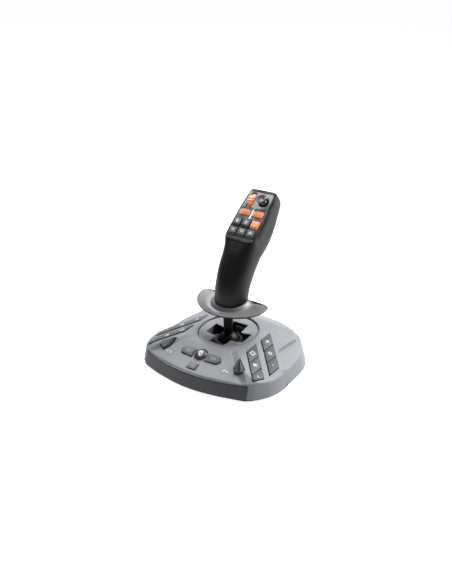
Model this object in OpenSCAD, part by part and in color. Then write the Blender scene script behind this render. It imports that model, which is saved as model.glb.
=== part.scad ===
// Desktop simulation joystick: moulded base console with key pads, sprung two-axis
// gimbal, twisting grip with hand rest, thumb panel, mini stick, rockers and trigger.
// Units are millimetres, +Z is up, -Y is the side that faces the user.
// The origin is on the desk plane, straight below the crossing of the gimbal axes.

/* [Stick] */
// Height of the crossing of the two gimbal axes above the desk
pivot_z = 25; // [22:0.5:28]
// Diameter of the stick tube between base and grip
shaft_d = 12.6; // [10:0.1:15]
// Diameter of the cable bore through the stick tube
shaft_bore = 7; // [5:0.5:9]
// Radius of the round cover on the pivot
boot_r = 14.4; // [13:0.2:16]
// Radial running clearance of pins in their holes
run = 0.05; // [0.02:0.01:0.1]

/* [Base] */
// Distance from the gimbal axis to the middle of the front edge at the desk
base_front = 93; // [85:1:100]
// Distance from the gimbal axis to the rear edge at the desk
base_rear = 92; // [80:1:100]
// Height of the top edge of the front band
band_z = 20.3; // [16:0.1:24]
// Wall thickness of the moulded shells
wall = 2.4; // [1.8:0.1:3]
// Radius of the round well under the stick
well_r = 40.2; // [36:0.1:44]
// Height of the well rim at the gimbal axis
rim_z = 41.5; // [38:0.1:45]
// Rise of the well rim per millimetre towards the rear
rim_slope = 0.054; // [0:0.001:0.1]

/* [Grip] */
// Tilt of the thumb panel from horizontal, degrees
face_tilt = 38.8; // [30:0.1:45]
// Y of the lower end of the thumb panel
face_y = 25.5; // [20:0.1:30]
// Height of the lower end of the thumb panel
face_z = 158.6; // [150:0.1:165]
// Thickness of the thumb panel plate
panel_t = 2.2; // [1.6:0.1:3]
// Wall thickness of the grip shells
grip_wall = 2.6; // [2:0.1:3.5]

/* [Keys] */
// Press travel of the wing keys and deck buttons
key_travel = 1.2; // [0.8:0.1:2]
// Side gap around every key
key_gap = 0.4; // [0.3:0.05:0.6]
// Height of the wing keys above the deck
key_rise = 1.3; // [0.5:0.1:2]
// Pitch of the wing keys along a column
wing_pitch = 14.8; // [12:0.1:16]
// Pitch of the thumb keys across the panel
thumb_pitch = 13.6; // [12:0.1:14]

/* [Hidden] */

light = [0.72, 0.73, 0.75];
mid = [0.42, 0.43, 0.45];
dark = [0.12, 0.12, 0.13];
band = [0.28, 0.29, 0.32];
orange = [0.95, 0.42, 0.16];
green = [0.1, 0.35, 0.2];
steel = [0.7, 0.7, 0.72];

shell_z0 = 2.6;
foot_z = 1.6;
cols = 80;
arc_k = 0.0026;
arc_top = 89;
strip_a = [30, -33];
strip_b = [75.5, -75];

// ---------------------------------------------------------------- helpers
function clamp(v, a, b) = max(a, min(b, v));
function mix(a, b, t) = a + (b - a) * t;
function len2(v) = sqrt(v[0] * v[0] + v[1] * v[1]);

// Closed solid through a stack of rings that all have the same number of points
module loft(rings) {
    n = len(rings[0]);
    m = len(rings);
    sides = [for (j = [0 : m - 2]) for (i = [0 : n - 1]) each [
        [j * n + i, j * n + (i + 1) % n, (j + 1) * n + (i + 1) % n],
        [j * n + i, (j + 1) * n + (i + 1) % n, (j + 1) * n + i]]];
    low = [[for (i = [n - 1 : -1 : 0]) i]];
    top = [[for (i = [0 : n - 1]) (m - 1) * n + i]];
    polyhedron(points = [for (r = rings) each r],
        faces = [for (f = concat(sides, low, top)) [for (k = [len(f) - 1 : -1 : 0]) f[k]]]);
}

// ---------------------------------------------------------------- base shape
function rim(y) = rim_z + rim_slope * y;
function arc_y(x) = -arc_top + arc_k * x * x;

// Distance to the outer side of the diagonal crease between front deck and wing
function strip_s(x, y) =
    let (d = strip_b - strip_a, n = [-d[1], d[0]] / len2(d))
    ([abs(x), y] - strip_a) * n;

function wing_h(x, y) = 39 - 0.335 * (abs(x) - 46) + 0.04 * (y + 30);
function rim_h(x, y) = rim(y) - 0.12 * (len2([x, y]) - well_r - 2.8);
function rear_h(x, y) = rim(45) - 0.45 * (y - 45) - 0.0012 * x * x;
function deck_in(x, y) = min(band_z + 0.41 * (y - arc_y(x)), rim_h(x, y));
function deck_out(x, y) = min(band_z + 0.62 * (y - arc_y(x)), wing_h(x, y),
    rim_h(x, y), rear_h(x, y));
function deck_z(x, y) = mix(deck_in(x, y), deck_out(x, y),
    clamp((strip_s(x, y) + 3.5) / 7, 0, 1));

// Plan radius of the shell foot for each direction, measured from the +X axis
foot_r = [[-90, base_front], [-84, 93.3], [-78, 93.9], [-72, 95.2], [-66, 97],
    [-60, 99.8], [-54, 103.3], [-48, 108], [-45, 111], [-42, 112.4], [-38, 113],
    [-34, 112.9], [-28, 112.7], [-22, 111], [-16, 108.6], [-13.5, 107.4], [-13, 105.6],
    [-6, 104], [2, 102.8], [8, 102.9], [14, 103.3], [20, 103], [26, 102], [32, 101],
    [40, 99.5], [50, 97.6], [60, 95.5], [70, 93.8], [80, 92.4], [90, base_rear]];

// Plan radius of the foot of the step that bounds the rear lobes
step_r = [[-14, 106], [-11, 101], [-5, 87.5], [0, 78.5], [5, 75.5], [10, 76.5],
    [15, 78.6], [20, 81.5], [25, 86], [30, 89.5], [40, 89], [50, 87], [60, 85],
    [70, 83.5], [80, 82.4], [90, 82]];

function fold(a) = let (b = (a + 360) % 360)
    b <= 90 ? b : b <= 270 ? 180 - b : b - 360;
function col_a(i) = -90 + 360 * i / cols;
function polar(a, r) = [r * cos(a), r * sin(a)];
function is_lobe(a) = fold(a) > -13.4;
function drop(a) = is_lobe(a) ? min(4.2, 0.45 * (fold(a) + 13.4)) : 0;

// Ring of shell points: inset from the foot, height rule chosen by the row number
function shell_ring(row, off, dz) = [for (i = [0 : cols - 1])
    let (a = col_a(i), f = fold(a), rf = lookup(f, foot_r) - off,
        rs = is_lobe(a) ? lookup(f, step_r) - off * 0.5 : mix(rf - 6, well_r + 3, 0.2),
        rw = rf - (is_lobe(a) ? 5.5 : 4),
        ri = well_r + 2.8 + (off > 0 ? 1.5 : 0),
        front = row < 2 && f < -44 ? 1.75 : 0,
        r = row == 0 ? rf - front : row == 1 ? rw - front : row == 2 ? rw - 2.2 :
            row == 3 ? rs : row == 4 ? rs - 2.2 : row == 5 ? mix(rs - 2.2, ri, 0.5) : ri,
        p = polar(a, r), h = deck_z(p[0], p[1]),
        z = row == 0 ? shell_z0 : row == 1 ? h - 1.6 - drop(a) * 1.2 :
            row == 2 ? h - drop(a) : row == 3 ? h - drop(a) : row == 6 ? rim(p[1]) : h)
    [p[0], p[1], z - dz]];

module shell_solid(off, dz) {
    rows = [for (row = [0 : 6]) shell_ring(row, off, row == 0 ? (off > 0 ? 2 : 0) : dz)];
    loft(rows);
}

// Frame on the front deck, local Z square to the deck
deck_tilt = atan(0.41);
module on_deck(x, y) {
    translate([x, y, deck_in(x, y)]) rotate([deck_tilt, 0, 0]) children();
}

// Frame on the right-hand wing plane, local Z square to the plane
wing_n = [0.335, -0.04, 1] / norm([0.335, -0.04, 1]);
wing_x = [1, 0, -0.335] / norm([1, 0, -0.335]);
wing_y = cross(wing_n, wing_x);
wing_m = [[wing_x[0], wing_y[0], wing_n[0], 46], [wing_x[1], wing_y[1], wing_n[1], -30],
    [wing_x[2], wing_y[2], wing_n[2], 39], [0, 0, 0, 1]];
module on_wing(side) {
    mirror([side < 0 ? 1 : 0, 0, 0]) multmatrix(wing_m) children();
}

// Outline of wing key k, 1 to 3 inner column, 4 to 6 outer column, in wing coordinates
wing_u0 = 3.2;
function wing_low(k) = k <= 3 ? 0 : 32.5;
function wing_key_pts(k, g) =
    let (c = (k - 1) % 3, u0 = wing_u0 + c * wing_pitch + g,
        u1 = wing_u0 + (c + 1) * wing_pitch - g,
        lo = wing_low(k) + wing_u0 + g * 1.4, hi = wing_low(k) + 20.6 + wing_u0 - g * 1.4)
    k == 3 ? [[u0, lo - u0], [u1 - 10, lo - u1 + 10], [u1 - 7.6, lo - u1 + 9.4],
            [u1 - 1.6, hi - u1 + 1.6], [u0, hi - u0]] :
        [[u0, lo - u0], [u1, lo - u1], [u1, hi - u1], [u0, hi - u0]];
module wing_key_shape(k, g) {
    offset(r = 0.6, $fn = 16) offset(delta = -0.6) polygon(wing_key_pts(k, g));
}
function wing_mid(k) = let (p = wing_key_pts(k, 0), n = len(p))
    [for (i = [0, 1]) [for (q = p) q[i]] * [for (j = [0 : n - 1]) 1] / n];

// Opening outlines on the front deck
module penta(g) {
    offset(r = 0.8, $fn = 20) offset(delta = -0.8 + g)
        polygon([[10.2, -7], [27.4, -5.2], [30.4, -0.2], [27.4, 4], [21.4, 5.6],
            [8.8, 5.2], [11.6, 0]]);
}
module paddle_shape(g) {
    offset(r = 0.8, $fn = 20) offset(delta = -0.8 + g)
        polygon([[50.5, 12.2], [50.5, -1], [56, -8.5], [64.5, -4.6], [64.5, 0.4]]);
}
module round_rect(w, h, r) {
    offset(r = r, $fn = 24) square([w - 2 * r, h - 2 * r], center = true);
}

penta_y = -59.5;
round_y = -59.5;
rect_y = -77.4;
paddle_y = -57.5;

// Frame on the crease between front deck and wing, at the height of the paddle
module on_crease() {
    translate([0, paddle_y, deck_in(57.4, paddle_y)]) rotate([deck_tilt, 0, 0]) children();
}

module base_cuts() {
    // round well
    tilt_rim() translate([0, 0, -20]) cylinder(h = 40, r = well_r, $fn = 96);
    // front deck openings
    on_deck(0, round_y) translate([0, 0, -14]) cylinder(h = 24, r = 8.6 + key_gap, $fn = 48);
    for (m = [0, 1]) mirror([m, 0, 0]) {
        on_deck(0, penta_y) translate([0, 0, -14]) linear_extrude(20) penta(key_gap);
        on_crease() translate([0, 0, -18]) linear_extrude(34) paddle_shape(1);
    }
    on_deck(0, rect_y) translate([0, 0, -8]) linear_extrude(16)
        round_rect(12.6 + 2 * key_gap, 8.6 + 2 * key_gap, 1);
    // one sloping slot per wing key column
    for (side = [-1, 1]) on_wing(side) for (k = [1 : 6])
        translate([0, 0, -9]) linear_extrude(16) wing_key_shape(k, 0);
}

module base_upper() {
    color(light) union() {
        difference() {
            shell_solid(0, 0);
            shell_solid(wall, wall);
            base_cuts();
            // recess that lets the fascia pegs in
            for (x = [-60, -20, 20, 60]) translate([x, arc_y(x) - 4, 11])
                rotate([-90, 0, 0]) cylinder(h = 14, d = 3.1, $fn = 24);
            // cable inlet at the back
            translate([0, base_rear - 12, 12]) rotate([-90, 0, 0])
                cylinder(h = 30, d = 10.6, $fn = 40);
        }
        // screw posts that meet the posts of the lower shell
        for (p = screw_xy) translate([p[0], p[1], 14]) difference() {
            cylinder(h = deck_z(p[0], p[1]) - 16.2 - p[2], d = 8, $fn = 24);
            translate([0, 0, -1]) cylinder(h = 7.4, d = 2.7, $fn = 24);
        }
        // ledge under the rim that carries the well plate
        tilt_rim() rotate_extrude($fn = 96) polygon([[37.8, -6.4], [42.8, -6.4], [42.4, -1.2],
            [41.4, -1.2], [40.7, -4.05], [37.8, -4.05]]);
        // stand-offs for the key boards
        for (side = [-1, 1]) on_wing(side) for (u = [8, 22, 36])
            translate([u, 29.7 - u, -10.35]) cylinder(h = 8.6, d = 5, $fn = 24);
        for (x = [-1, 1], q = [[29, -9], [12, 16.4]]) on_deck(0, -66)
            translate([x * q[0], q[1], -10.95]) cylinder(h = 9.4, d = 5, $fn = 24);
        // lugs that carry the paddle axles
        for (m = [0, 1]) mirror([m, 0, 0]) on_crease() difference() {
            union() {
                translate([46.8, -8, -9]) cube([2.4, 7, 8.4]);
                translate([65.8, -8, -9]) cube([2.4, 7, 8.7]);
            }
            translate([58, -4.6, -6]) rotate([0, 90, 0])
                cylinder(h = 24, d = 3 + 2 * run, center = true, $fn = 24);
        }
    }
}

// Case screw places, with the extra depth of the ledge above the post
screw_xy = [[-38, -71, 0], [38, -71, 0], [-90, 8, 4.4], [90, 8, 4.4], [-48, 60, 0.3], [48, 60, 0.3]];

module front_fascia() {
    n = 24;
    span = 79.6;
    xs = [for (i = [0 : n]) -span + 2 * span * i / n];
    // outer face follows the front of the base, the back is 1.6 behind it
    function low_y(x) = -base_front + 0.00237 * x * x;
    rings = [for (x = xs) [[x, low_y(x), shell_z0], [x, low_y(x) + 1.6, shell_z0],
        [x, arc_y(x) + 1.6, band_z - 1.4], [x, arc_y(x), band_z - 1.4]]];
    color(band) union() {
        difference() {
            loft(rings);
            translate([0, -0.03, 0]) shell_solid(0, 0);
        }
        for (x = [-60, -20, 20, 60]) translate([x, mix(low_y(x), arc_y(x), 0.45) + 1, 11])
            rotate([-90, 0, 0]) cylinder(h = 5.4, d = 3, $fn = 24);
    }
}

module plan_shape(off) {
    polygon([for (i = [0 : cols - 1]) let (a = col_a(i)) polar(a, lookup(fold(a), foot_r) - off)]);
}

module base_lower() {
    color(dark) difference() {
        union() {
            translate([0, 0, foot_z - 0.4]) linear_extrude(1.3) plan_shape(1.2);
            translate([0, 0, foot_z - 0.4]) linear_extrude(wall) plan_shape(wall + 2.8);
            translate([0, 0, foot_z]) linear_extrude(5) difference() {
                plan_shape(wall + 3.5);
                plan_shape(wall + 5.3);
            }
            for (p = screw_xy) translate([p[0], p[1], foot_z]) cylinder(h = 12.35, d = 9, $fn = 24);
            for (p = board_xy) translate([p[0], p[1], foot_z]) cylinder(h = 5, d = 6, $fn = 24);
            // seats of the gimbal housing
            for (x = [-1, 1], y = [-1, 1]) translate([x * 27, y * 27, foot_z])
                cylinder(h = 4.3, d = 8, $fn = 24);
        }
        for (p = screw_xy) translate([p[0], p[1], 0]) {
            cylinder(h = 30, d = 3.4, $fn = 24);
            cylinder(h = 6, d = 6.4, $fn = 24);
        }
        for (p = feet_xy) translate([p[0], p[1], 0]) cylinder(h = foot_z + 0.4, d = 16.2, $fn = 40);
        // notch for the cable gland
        translate([0, base_rear - 14, 12]) rotate([-90, 0, 0]) cylinder(h = 20, d = 13.6, $fn = 40);
        // cooling and drain slots under the board
        for (i = [-2 : 2]) translate([i * 6, 58, 0]) linear_extrude(8)
            square([2.2, 18], center = true);
    }
}

board_xy = [[-24, 52], [24, 52], [-24, 74], [24, 74]];
feet_xy = [[-72, -66], [72, -66], [-86, 22], [86, 22], [0, -78], [0, 78], [0, 0]];

module rubber_feet() {
    color(dark) for (p = feet_xy) translate([p[0], p[1], 0])
        cylinder(h = foot_z + 0.35, d = 16, $fn = 40);
}

module case_screws() {
    color(steel) for (p = screw_xy) translate([p[0], p[1], 5.95]) mirror([0, 0, 1])
        difference() {
            union() {
                cylinder(h = 2, d = 5.8, $fn = 24);
                translate([0, 0, -11.4]) cylinder(h = 11.5, d = 2.6, $fn = 24);
            }
            translate([0, 0, 0.8]) linear_extrude(2) for (t = [0, 90]) rotate(t)
                square([3.4, 0.7], center = true);
        }
}

module weight_plate() {
    // steel ballast that keeps the base on the desk
    color(steel) difference() {
        translate([0, -57, foot_z + 2.05]) linear_extrude(3) round_rect(62, 22, 3);
        for (x = [-26, 26]) translate([x, -58, 0]) cylinder(h = 12, d = 4, $fn = 24);
    }
}

module main_pcb() {
    color(green) union() {
        difference() {
            translate([0, 63, foot_z + 5.05]) linear_extrude(1.6) square([58, 32], center = true);
            for (p = board_xy) translate([p[0], p[1], 0]) cylinder(h = 20, d = 2.6, $fn = 24);
        }
        translate([-12, 60, foot_z + 6.6]) linear_extrude(1.4) square([9, 9], center = true);
        translate([12, 56, foot_z + 6.6]) linear_extrude(5) square([12, 5], center = true);
        translate([6, 72, foot_z + 6.6]) linear_extrude(6) square([8, 6], center = true);
    }
}

module cable_gland() {
    color(dark) translate([0, base_rear - 11.4, 12]) rotate([-90, 0, 0]) difference() {
        union() {
            cylinder(h = 13.4, d = 10.4, $fn = 40);
            cylinder(h = 2.2, d = 13, $fn = 40);
        }
        translate([0, 0, -2]) cylinder(h = 20, d = 7, $fn = 32);
    }
}

// ---------------------------------------------------------------- well and gimbal
module cross_shape(l, w, r) {
    offset(r = r, $fn = 24) offset(delta = -r) union() {
        square([2 * l, w], center = true);
        square([w, 2 * l], center = true);
        circle(r = w * 0.66, $fn = 48);
    }
}

module tilt_rim() {
    // turned so that it follows the sloping rim of the well
    translate([0, 0, rim_z]) rotate([atan(rim_slope), 0, 0]) children();
}

module well_plate() {
    color(light) tilt_rim() difference() {
        rotate_extrude($fn = 96)
            polygon([[6, -8.6], [22, -8], [33, -5.9], [37.5, -4], [38.9, -4], [38.9, -2.4],
                [37.6, -2.4], [32.6, -4.4], [21.6, -6.5], [6, -7.1]]);
        translate([0, 0, -20]) linear_extrude(30) cross_shape(29, 23, 2);
    }
}

module gimbal_housing() {
    px = 23;
    color(mid) difference() {
        union() {
            // four legs on a square foot frame
            translate([0, 0, foot_z + 4.35]) linear_extrude(2.6) difference() {
                round_rect(64, 64, 4);
                circle(r = 23, $fn = 64);
            }
            // bearing posts on the front and rear side
            for (s = [-1, 1]) translate([0, s * 29.5, foot_z + 5]) linear_extrude(pivot_z + 2.4 - foot_z)
                round_rect(16, 5, 1);
            // side walls that carry the well plate
            for (s = [-1, 1]) translate([s * 31.5, 0, foot_z + 5]) linear_extrude(28.1)
                square([2.4, 36], center = true);
            // dish under the spring cup, concentric with the pivot
            translate([0, 0, pivot_z]) rotate_extrude($fn = 64)
                polygon(concat([for (a = [0 : 6 : 54]) polar(a - 90, 16.4)],
                    [for (a = [54 : -6 : 0]) polar(a - 90, 18.4)]));
            for (t = [45 : 90 : 315]) rotate(t) translate([5, -1, foot_z + 5.05])
                cube([20, 2, 1.9]);
        }
        for (s = [-1, 1]) translate([0, s * 29.5, pivot_z]) rotate([90, 0, 0])
            cylinder(h = 8, d = 6 + 2 * run, center = true, $fn = 40);
        for (x = [-1, 1], y = [-1, 1]) translate([x * 27, y * 27, 0])
            cylinder(h = 20, d = 3.2, $fn = 24);
        translate([0, 0, 0]) linear_extrude(pivot_z - 16.2) square([4.2, 4.2], center = true);
    }
}

module sensor_pcb() {
    color(green) union() {
        translate([0, 0, foot_z + 2.05]) linear_extrude(1.6) round_rect(26, 26, 2);
        translate([0, 0, foot_z + 3.6]) linear_extrude(1.1) square([3.6, 3.6], center = true);
        translate([9, 0, foot_z + 3.6]) linear_extrude(1.4) square([3, 8], center = true);
    }
}

module gimbal_yoke() {
    // round frame with journals fore and aft and cross bearings left and right
    color(mid) difference() {
        union() {
            translate([0, 0, pivot_z - 3.2]) difference() {
                cylinder(h = 6.4, r = 18.6, $fn = 64);
                translate([0, 0, -1]) cylinder(h = 9, r = 15.2, $fn = 64);
            }
            // journals that run in the posts of the housing
            for (s = [-1, 1]) translate([0, s * 24.8, pivot_z]) rotate([90, 0, 0])
                cylinder(h = 14.2, d = 6, center = true, $fn = 40);
            for (s = [-1, 1]) translate([s * 17.9, 0, pivot_z]) rotate([0, 90, 0])
                cylinder(h = 4.4, d = 8, center = true, $fn = 40);
        }
        for (s = [-1, 1]) translate([s * 18, 0, pivot_z]) rotate([0, 90, 0])
            cylinder(h = 8, d = 5 + 2 * run, center = true, $fn = 40);
    }
}

module stick_shaft() {
    color(dark) difference() {
        union() {
            translate([0, 0, pivot_z + 5]) cylinder(h = 94 - pivot_z - 5, d = shaft_d, $fn = 48);
            // hub with the cross journals that run in the yoke
            translate([0, 0, pivot_z - 5]) cylinder(h = 12, d = 19, $fn = 48);
            translate([0, 0, pivot_z]) rotate([0, 90, 0]) cylinder(h = 39, d = 5, center = true, $fn = 40);
            translate([0, 0, pivot_z]) rotate([0, 90, 0]) cylinder(h = 28.2, d = 9, center = true, $fn = 40);
            // tail that guides spring and cup
            translate([0, 0, pivot_z - 14.6]) cylinder(h = 12, d = 7, $fn = 32);
            // shoulders that hold the twist collar
            translate([0, 0, 71]) cylinder(h = 3, d = 17, $fn = 40);
            translate([0, 0, 92]) cylinder(h = 2, d = 16, $fn = 40);
        }
        translate([0, 0, pivot_z - 4]) cylinder(h = 90, d = shaft_bore, $fn = 32);
        translate([0, 0, pivot_z - 15]) cylinder(h = 3.4, d = 5.1, $fn = 32);
    }
}

module stick_boot() {
    // dome that hides the pivot and moves with the stick
    color(dark) difference() {
        translate([0, 0, pivot_z]) rotate_extrude($fn = 64)
            polygon(concat([for (a = [12 : 5 : 62]) polar(a, boot_r)],
                [polar(acos((shaft_d / 2 + 0.02) / boot_r), boot_r),
                polar(acos((shaft_d / 2 + 0.02) / (boot_r - 1.8)), boot_r - 1.8)],
                [for (a = [57 : -5 : 12]) polar(a, boot_r - 1.8)]));
        translate([0, 0, pivot_z]) rotate([0, 90, 0]) cylinder(h = 60, d = 9.6, center = true, $fn = 40);
    }
}

module spring_cup() {
    color(dark) translate([0, 0, pivot_z]) difference() {
        rotate_extrude($fn = 64) polygon(concat([[3.6, -11.6]],
            [for (a = [13 : 6 : 43]) polar(a - 90, 15.9)], [[10.8, -9.4], [9.4, -9.4], [9.4, -11.6]]));
        translate([0, 0, -20]) cylinder(h = 12, d = 7.06, $fn = 32);
    }
}

module centering_spring() {
    // conical pile of rings standing for the coil between hub flange and cup
    color(steel) for (i = [0 : 3]) translate([0, 0, pivot_z - 10.9 + i * 1.45])
        rotate_extrude($fn = 40) translate([7.4 - i * 0.25, 0]) circle(d = 1.2, $fn = 12);
}

module shaft_magnet() {
    color(steel) translate([0, 0, pivot_z - 14.9]) cylinder(h = 3.1, d = 5, $fn = 32);
}

module hand_rest() {
    // D-shaped rest: straight back edge with tight corners, elliptic front, shallow dish
    n = 60;
    function edge(a) = let (c = cos(a), s = sin(a))
        s < 0 ? [51.8 * c, 12 + 38.5 * s] :
            [51.8 * sign(c) * pow(abs(c), 0.4), 12 + 8.7 * pow(s, 0.4)];
    function inner(a) = [23 * cos(a), min(19.6, 7.5 + 22.5 * sin(a))];
    function ringp(t, dz) = [for (i = [0 : n - 1]) let (a = 360 * i / n,
        q = mix(inner(a), edge(a), t)) [q[0], q[1], 79.2 + 0.13 * q[1] + dz]];
    color(mid) difference() {
        union() {
            loft([ringp(0, -6.6), ringp(0.55, -3.8), ringp(0.97, -3), ringp(1, -1.6),
                ringp(0.985, -0.2), ringp(0.8, -1), ringp(0.45, -2.2), ringp(0.15, -1.6),
                ringp(0, 0)]);
            translate([0, 7.5, 73.6]) scale([22.4, 21.8, 1]) cylinder(h = 4.8, r = 1, $fn = 64);
        }
        translate([0, 0, 50]) cylinder(h = 60, d = shaft_d + 1, $fn = 48);
        translate([0, 0, 60]) cylinder(h = 14.4, d = 18, $fn = 48);
        translate([0, 7.5, 75.9]) scale([20.9, 20.4, 1]) cylinder(h = 10, r = 1, $fn = 64);
    }
}

module twist_collar() {
    // dark collar under the grip, also the bush that turns on the stick tube
    color(dark) difference() {
        union() {
            translate([0, 7.5, 76]) scale([20.8, 20.3, 1]) cylinder(h = 7.4, r = 1, $fn = 64);
            translate([0, 0, 83]) cylinder(h = 8.8, d = 18.2, $fn = 48);
        }
        translate([0, 0, 70]) cylinder(h = 40, d = shaft_d + 2 * run, $fn = 48);
        translate([0, 17, 70]) cylinder(h = 40, d = 6, $fn = 32);
    }
}

// ---------------------------------------------------------------- grip
function face_p(s, h) = [face_y + s * cos(face_tilt) - h * sin(face_tilt),
    face_z + s * sin(face_tilt) + h * cos(face_tilt)];

// Stations of the grip: front point, back point, half width, front and back fullness
grip_st = [
    [[-13, 83.6], [28.8, 83.6], 21.4, 2.2, 2.2],
    [[-11.4, 97], [33, 96], 21.8, 2.2, 2.2],
    [[-6.4, 112], [36.8, 103.4], 22.2, 2.3, 2.3],
    [[2.2, 127.6], [41, 111], 22.6, 2.6, 2.4],
    [[12, 143], [46, 118], 22.9, 3.2, 2.6],
    [[19.4, 153.2], [50, 123.6], 23.1, 4.4, 2.8],
    [face_p(3, 3), face_p(0, -41.5), 23.3, 9, 3],
    [face_p(14, 3), face_p(12, -43.4), 23.3, 9, 3],
    [face_p(28, 3), face_p(28, -43.6), 23, 9, 3],
    [face_p(44, 3), face_p(44, -40), 22.4, 9, 3],
    [face_p(60, 3), face_p(60, -35), 21.2, 9, 3],
    [face_p(71, 2.6), face_p(71, -31), 20.2, 9, 3],
    [face_p(76.4, 1.4), face_p(76.4, -28), 19, 7, 3],
    [face_p(78.6, -3), face_p(78.6, -24), 16.4, 4, 3]];
grip_n = 40;

function grip_ring(st, off) =
    let (f = st[0], b = st[1], c = (f + b) / 2, d = (b - f) / 2,
        k = 1 - off / norm(d), w = st[2] - off)
    [for (i = [0 : grip_n - 1]) let (a = 360 * i / grip_n, co = cos(a), si = sin(a),
        n = si < 0 ? st[3] : st[4], x = w * sign(co) * pow(abs(co), 2 / n),
        t = sign(si) * pow(abs(si), 2 / n) * k) [x, c[0] + d[0] * t, c[1] + d[1] * t]];

module grip_outer() {
    loft([for (st = grip_st) grip_ring(st, 0)]);
}
module grip_inner() {
    m = len(grip_st) - 2;
    loft(concat([[for (p = grip_ring(grip_st[0], grip_wall)) p - [0, 0, 1]]],
        [for (i = [1 : m]) grip_ring(grip_st[i], grip_wall)]));
}

module on_face(x, s, h = 0) {
    translate([0, face_y, face_z]) rotate([face_tilt, 0, 0]) translate([x, s, h]) children();
}

module panel_shape(g) {
    offset(r = 2, $fn = 24) offset(delta = -2 + g)
        polygon([[-20.6, 1], [20.6, 1], [20.4, 30], [18, 73], [-18, 73], [-20.4, 30]]);
}

// Places of the thumb controls on the panel, x across and s up
thumb_w = thumb_pitch - 2.2;
thumb_rise = 2.8;
key_s1 = 24.4;
key_s2 = 10.6;
rock_s = 40.4;
scroll_x = -10.6;
scroll_s = 60.4;
mini_x = 8.6;
mini_s = 59.6;
thumb_xy = [[-thumb_pitch, key_s1], [0, key_s1], [-thumb_pitch, key_s2], [0, key_s2],
    [thumb_pitch, key_s2]];
trig_s = 56;
trig_h = -32;

module trigger_box(g, low = 0) {
    // zone of the rear trigger, measured along the back of the grip head
    on_face(-11 - g, 31 - g - low, -60) cube([22 + 2 * g, 28.5 + 2 * g + low, 60 - 29 + g]);
}

module grip_shell() {
    difference() {
        grip_outer();
        grip_inner();
        // flat seat of the thumb panel
        on_face(0, 0) linear_extrude(12) translate([-40, -14]) square([80, 110]);
        on_face(0, 0, -panel_t - 0.05) linear_extrude(10) panel_shape(0.05);
        on_face(0, 0, -16) linear_extrude(16) intersection() {
            panel_shape(0.05);
            translate([-40, 3.4]) square([80, 67]);
        }
        // rear opening of the trigger
        trigger_box(0.4, 1.5);
    }
}

module grip_boss(s, h, d, len) {
    on_face(0, s, h) rotate([0, 90, 0]) cylinder(h = len, d = d, $fn = 24);
}

module grip_half(side) {
    difference() {
        union() {
            intersection() {
                grip_shell();
                translate([side > 0 ? 0.03 : -60.03, -60, 60]) cube([60, 220, 180]);
            }
            // posts for the shell screws and bearings of the trigger
            intersection() {
                grip_outer();
                for (p = grip_screw_yz) translate([side > 0 ? 0.03 : -40.03, p[0], p[1]])
                    rotate([0, 90, 0]) cylinder(h = 40, d = 7, $fn = 24);
            }
            intersection() {
                grip_outer();
                on_face(side > 0 ? 12 : -32, trig_s, trig_h) rotate([0, 90, 0])
                    cylinder(h = 20, d = 7, $fn = 32);
            }
        }
        for (p = grip_screw_yz) translate([-60, p[0], p[1]]) rotate([0, 90, 0])
            cylinder(h = 76, d = 2.3, $fn = 24);
        for (p = grip_screw_yz) translate([-60, p[0], p[1]]) rotate([0, 90, 0])
            cylinder(h = 60 - 9, d = 5.2, $fn = 24);
        on_face(0, trig_s, trig_h) rotate([0, 90, 0])
            cylinder(h = 33, d = 3 + 2 * run, center = true, $fn = 32);
    }
}

grip_screw_yz = [[16, 104], [37, 133], [88.5, 183.6]];

module grip_left() {
    color(dark) grip_half(-1);
}
module grip_right() {
    color(dark) grip_half(1);
}

module grip_screws() {
    color(steel) for (p = grip_screw_yz) translate([-9.05, p[0], p[1]]) rotate([0, 90, 0])
        difference() {
            union() {
                translate([0, 0, -2]) cylinder(h = 2, d = 4.6, $fn = 24);
                translate([0, 0, -0.1]) cylinder(h = 14, d = 2.2, $fn = 24);
            }
            translate([0, 0, -2.2]) linear_extrude(1.2) for (t = [0, 90]) rotate(t)
                square([3, 0.6], center = true);
        }
}

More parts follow.
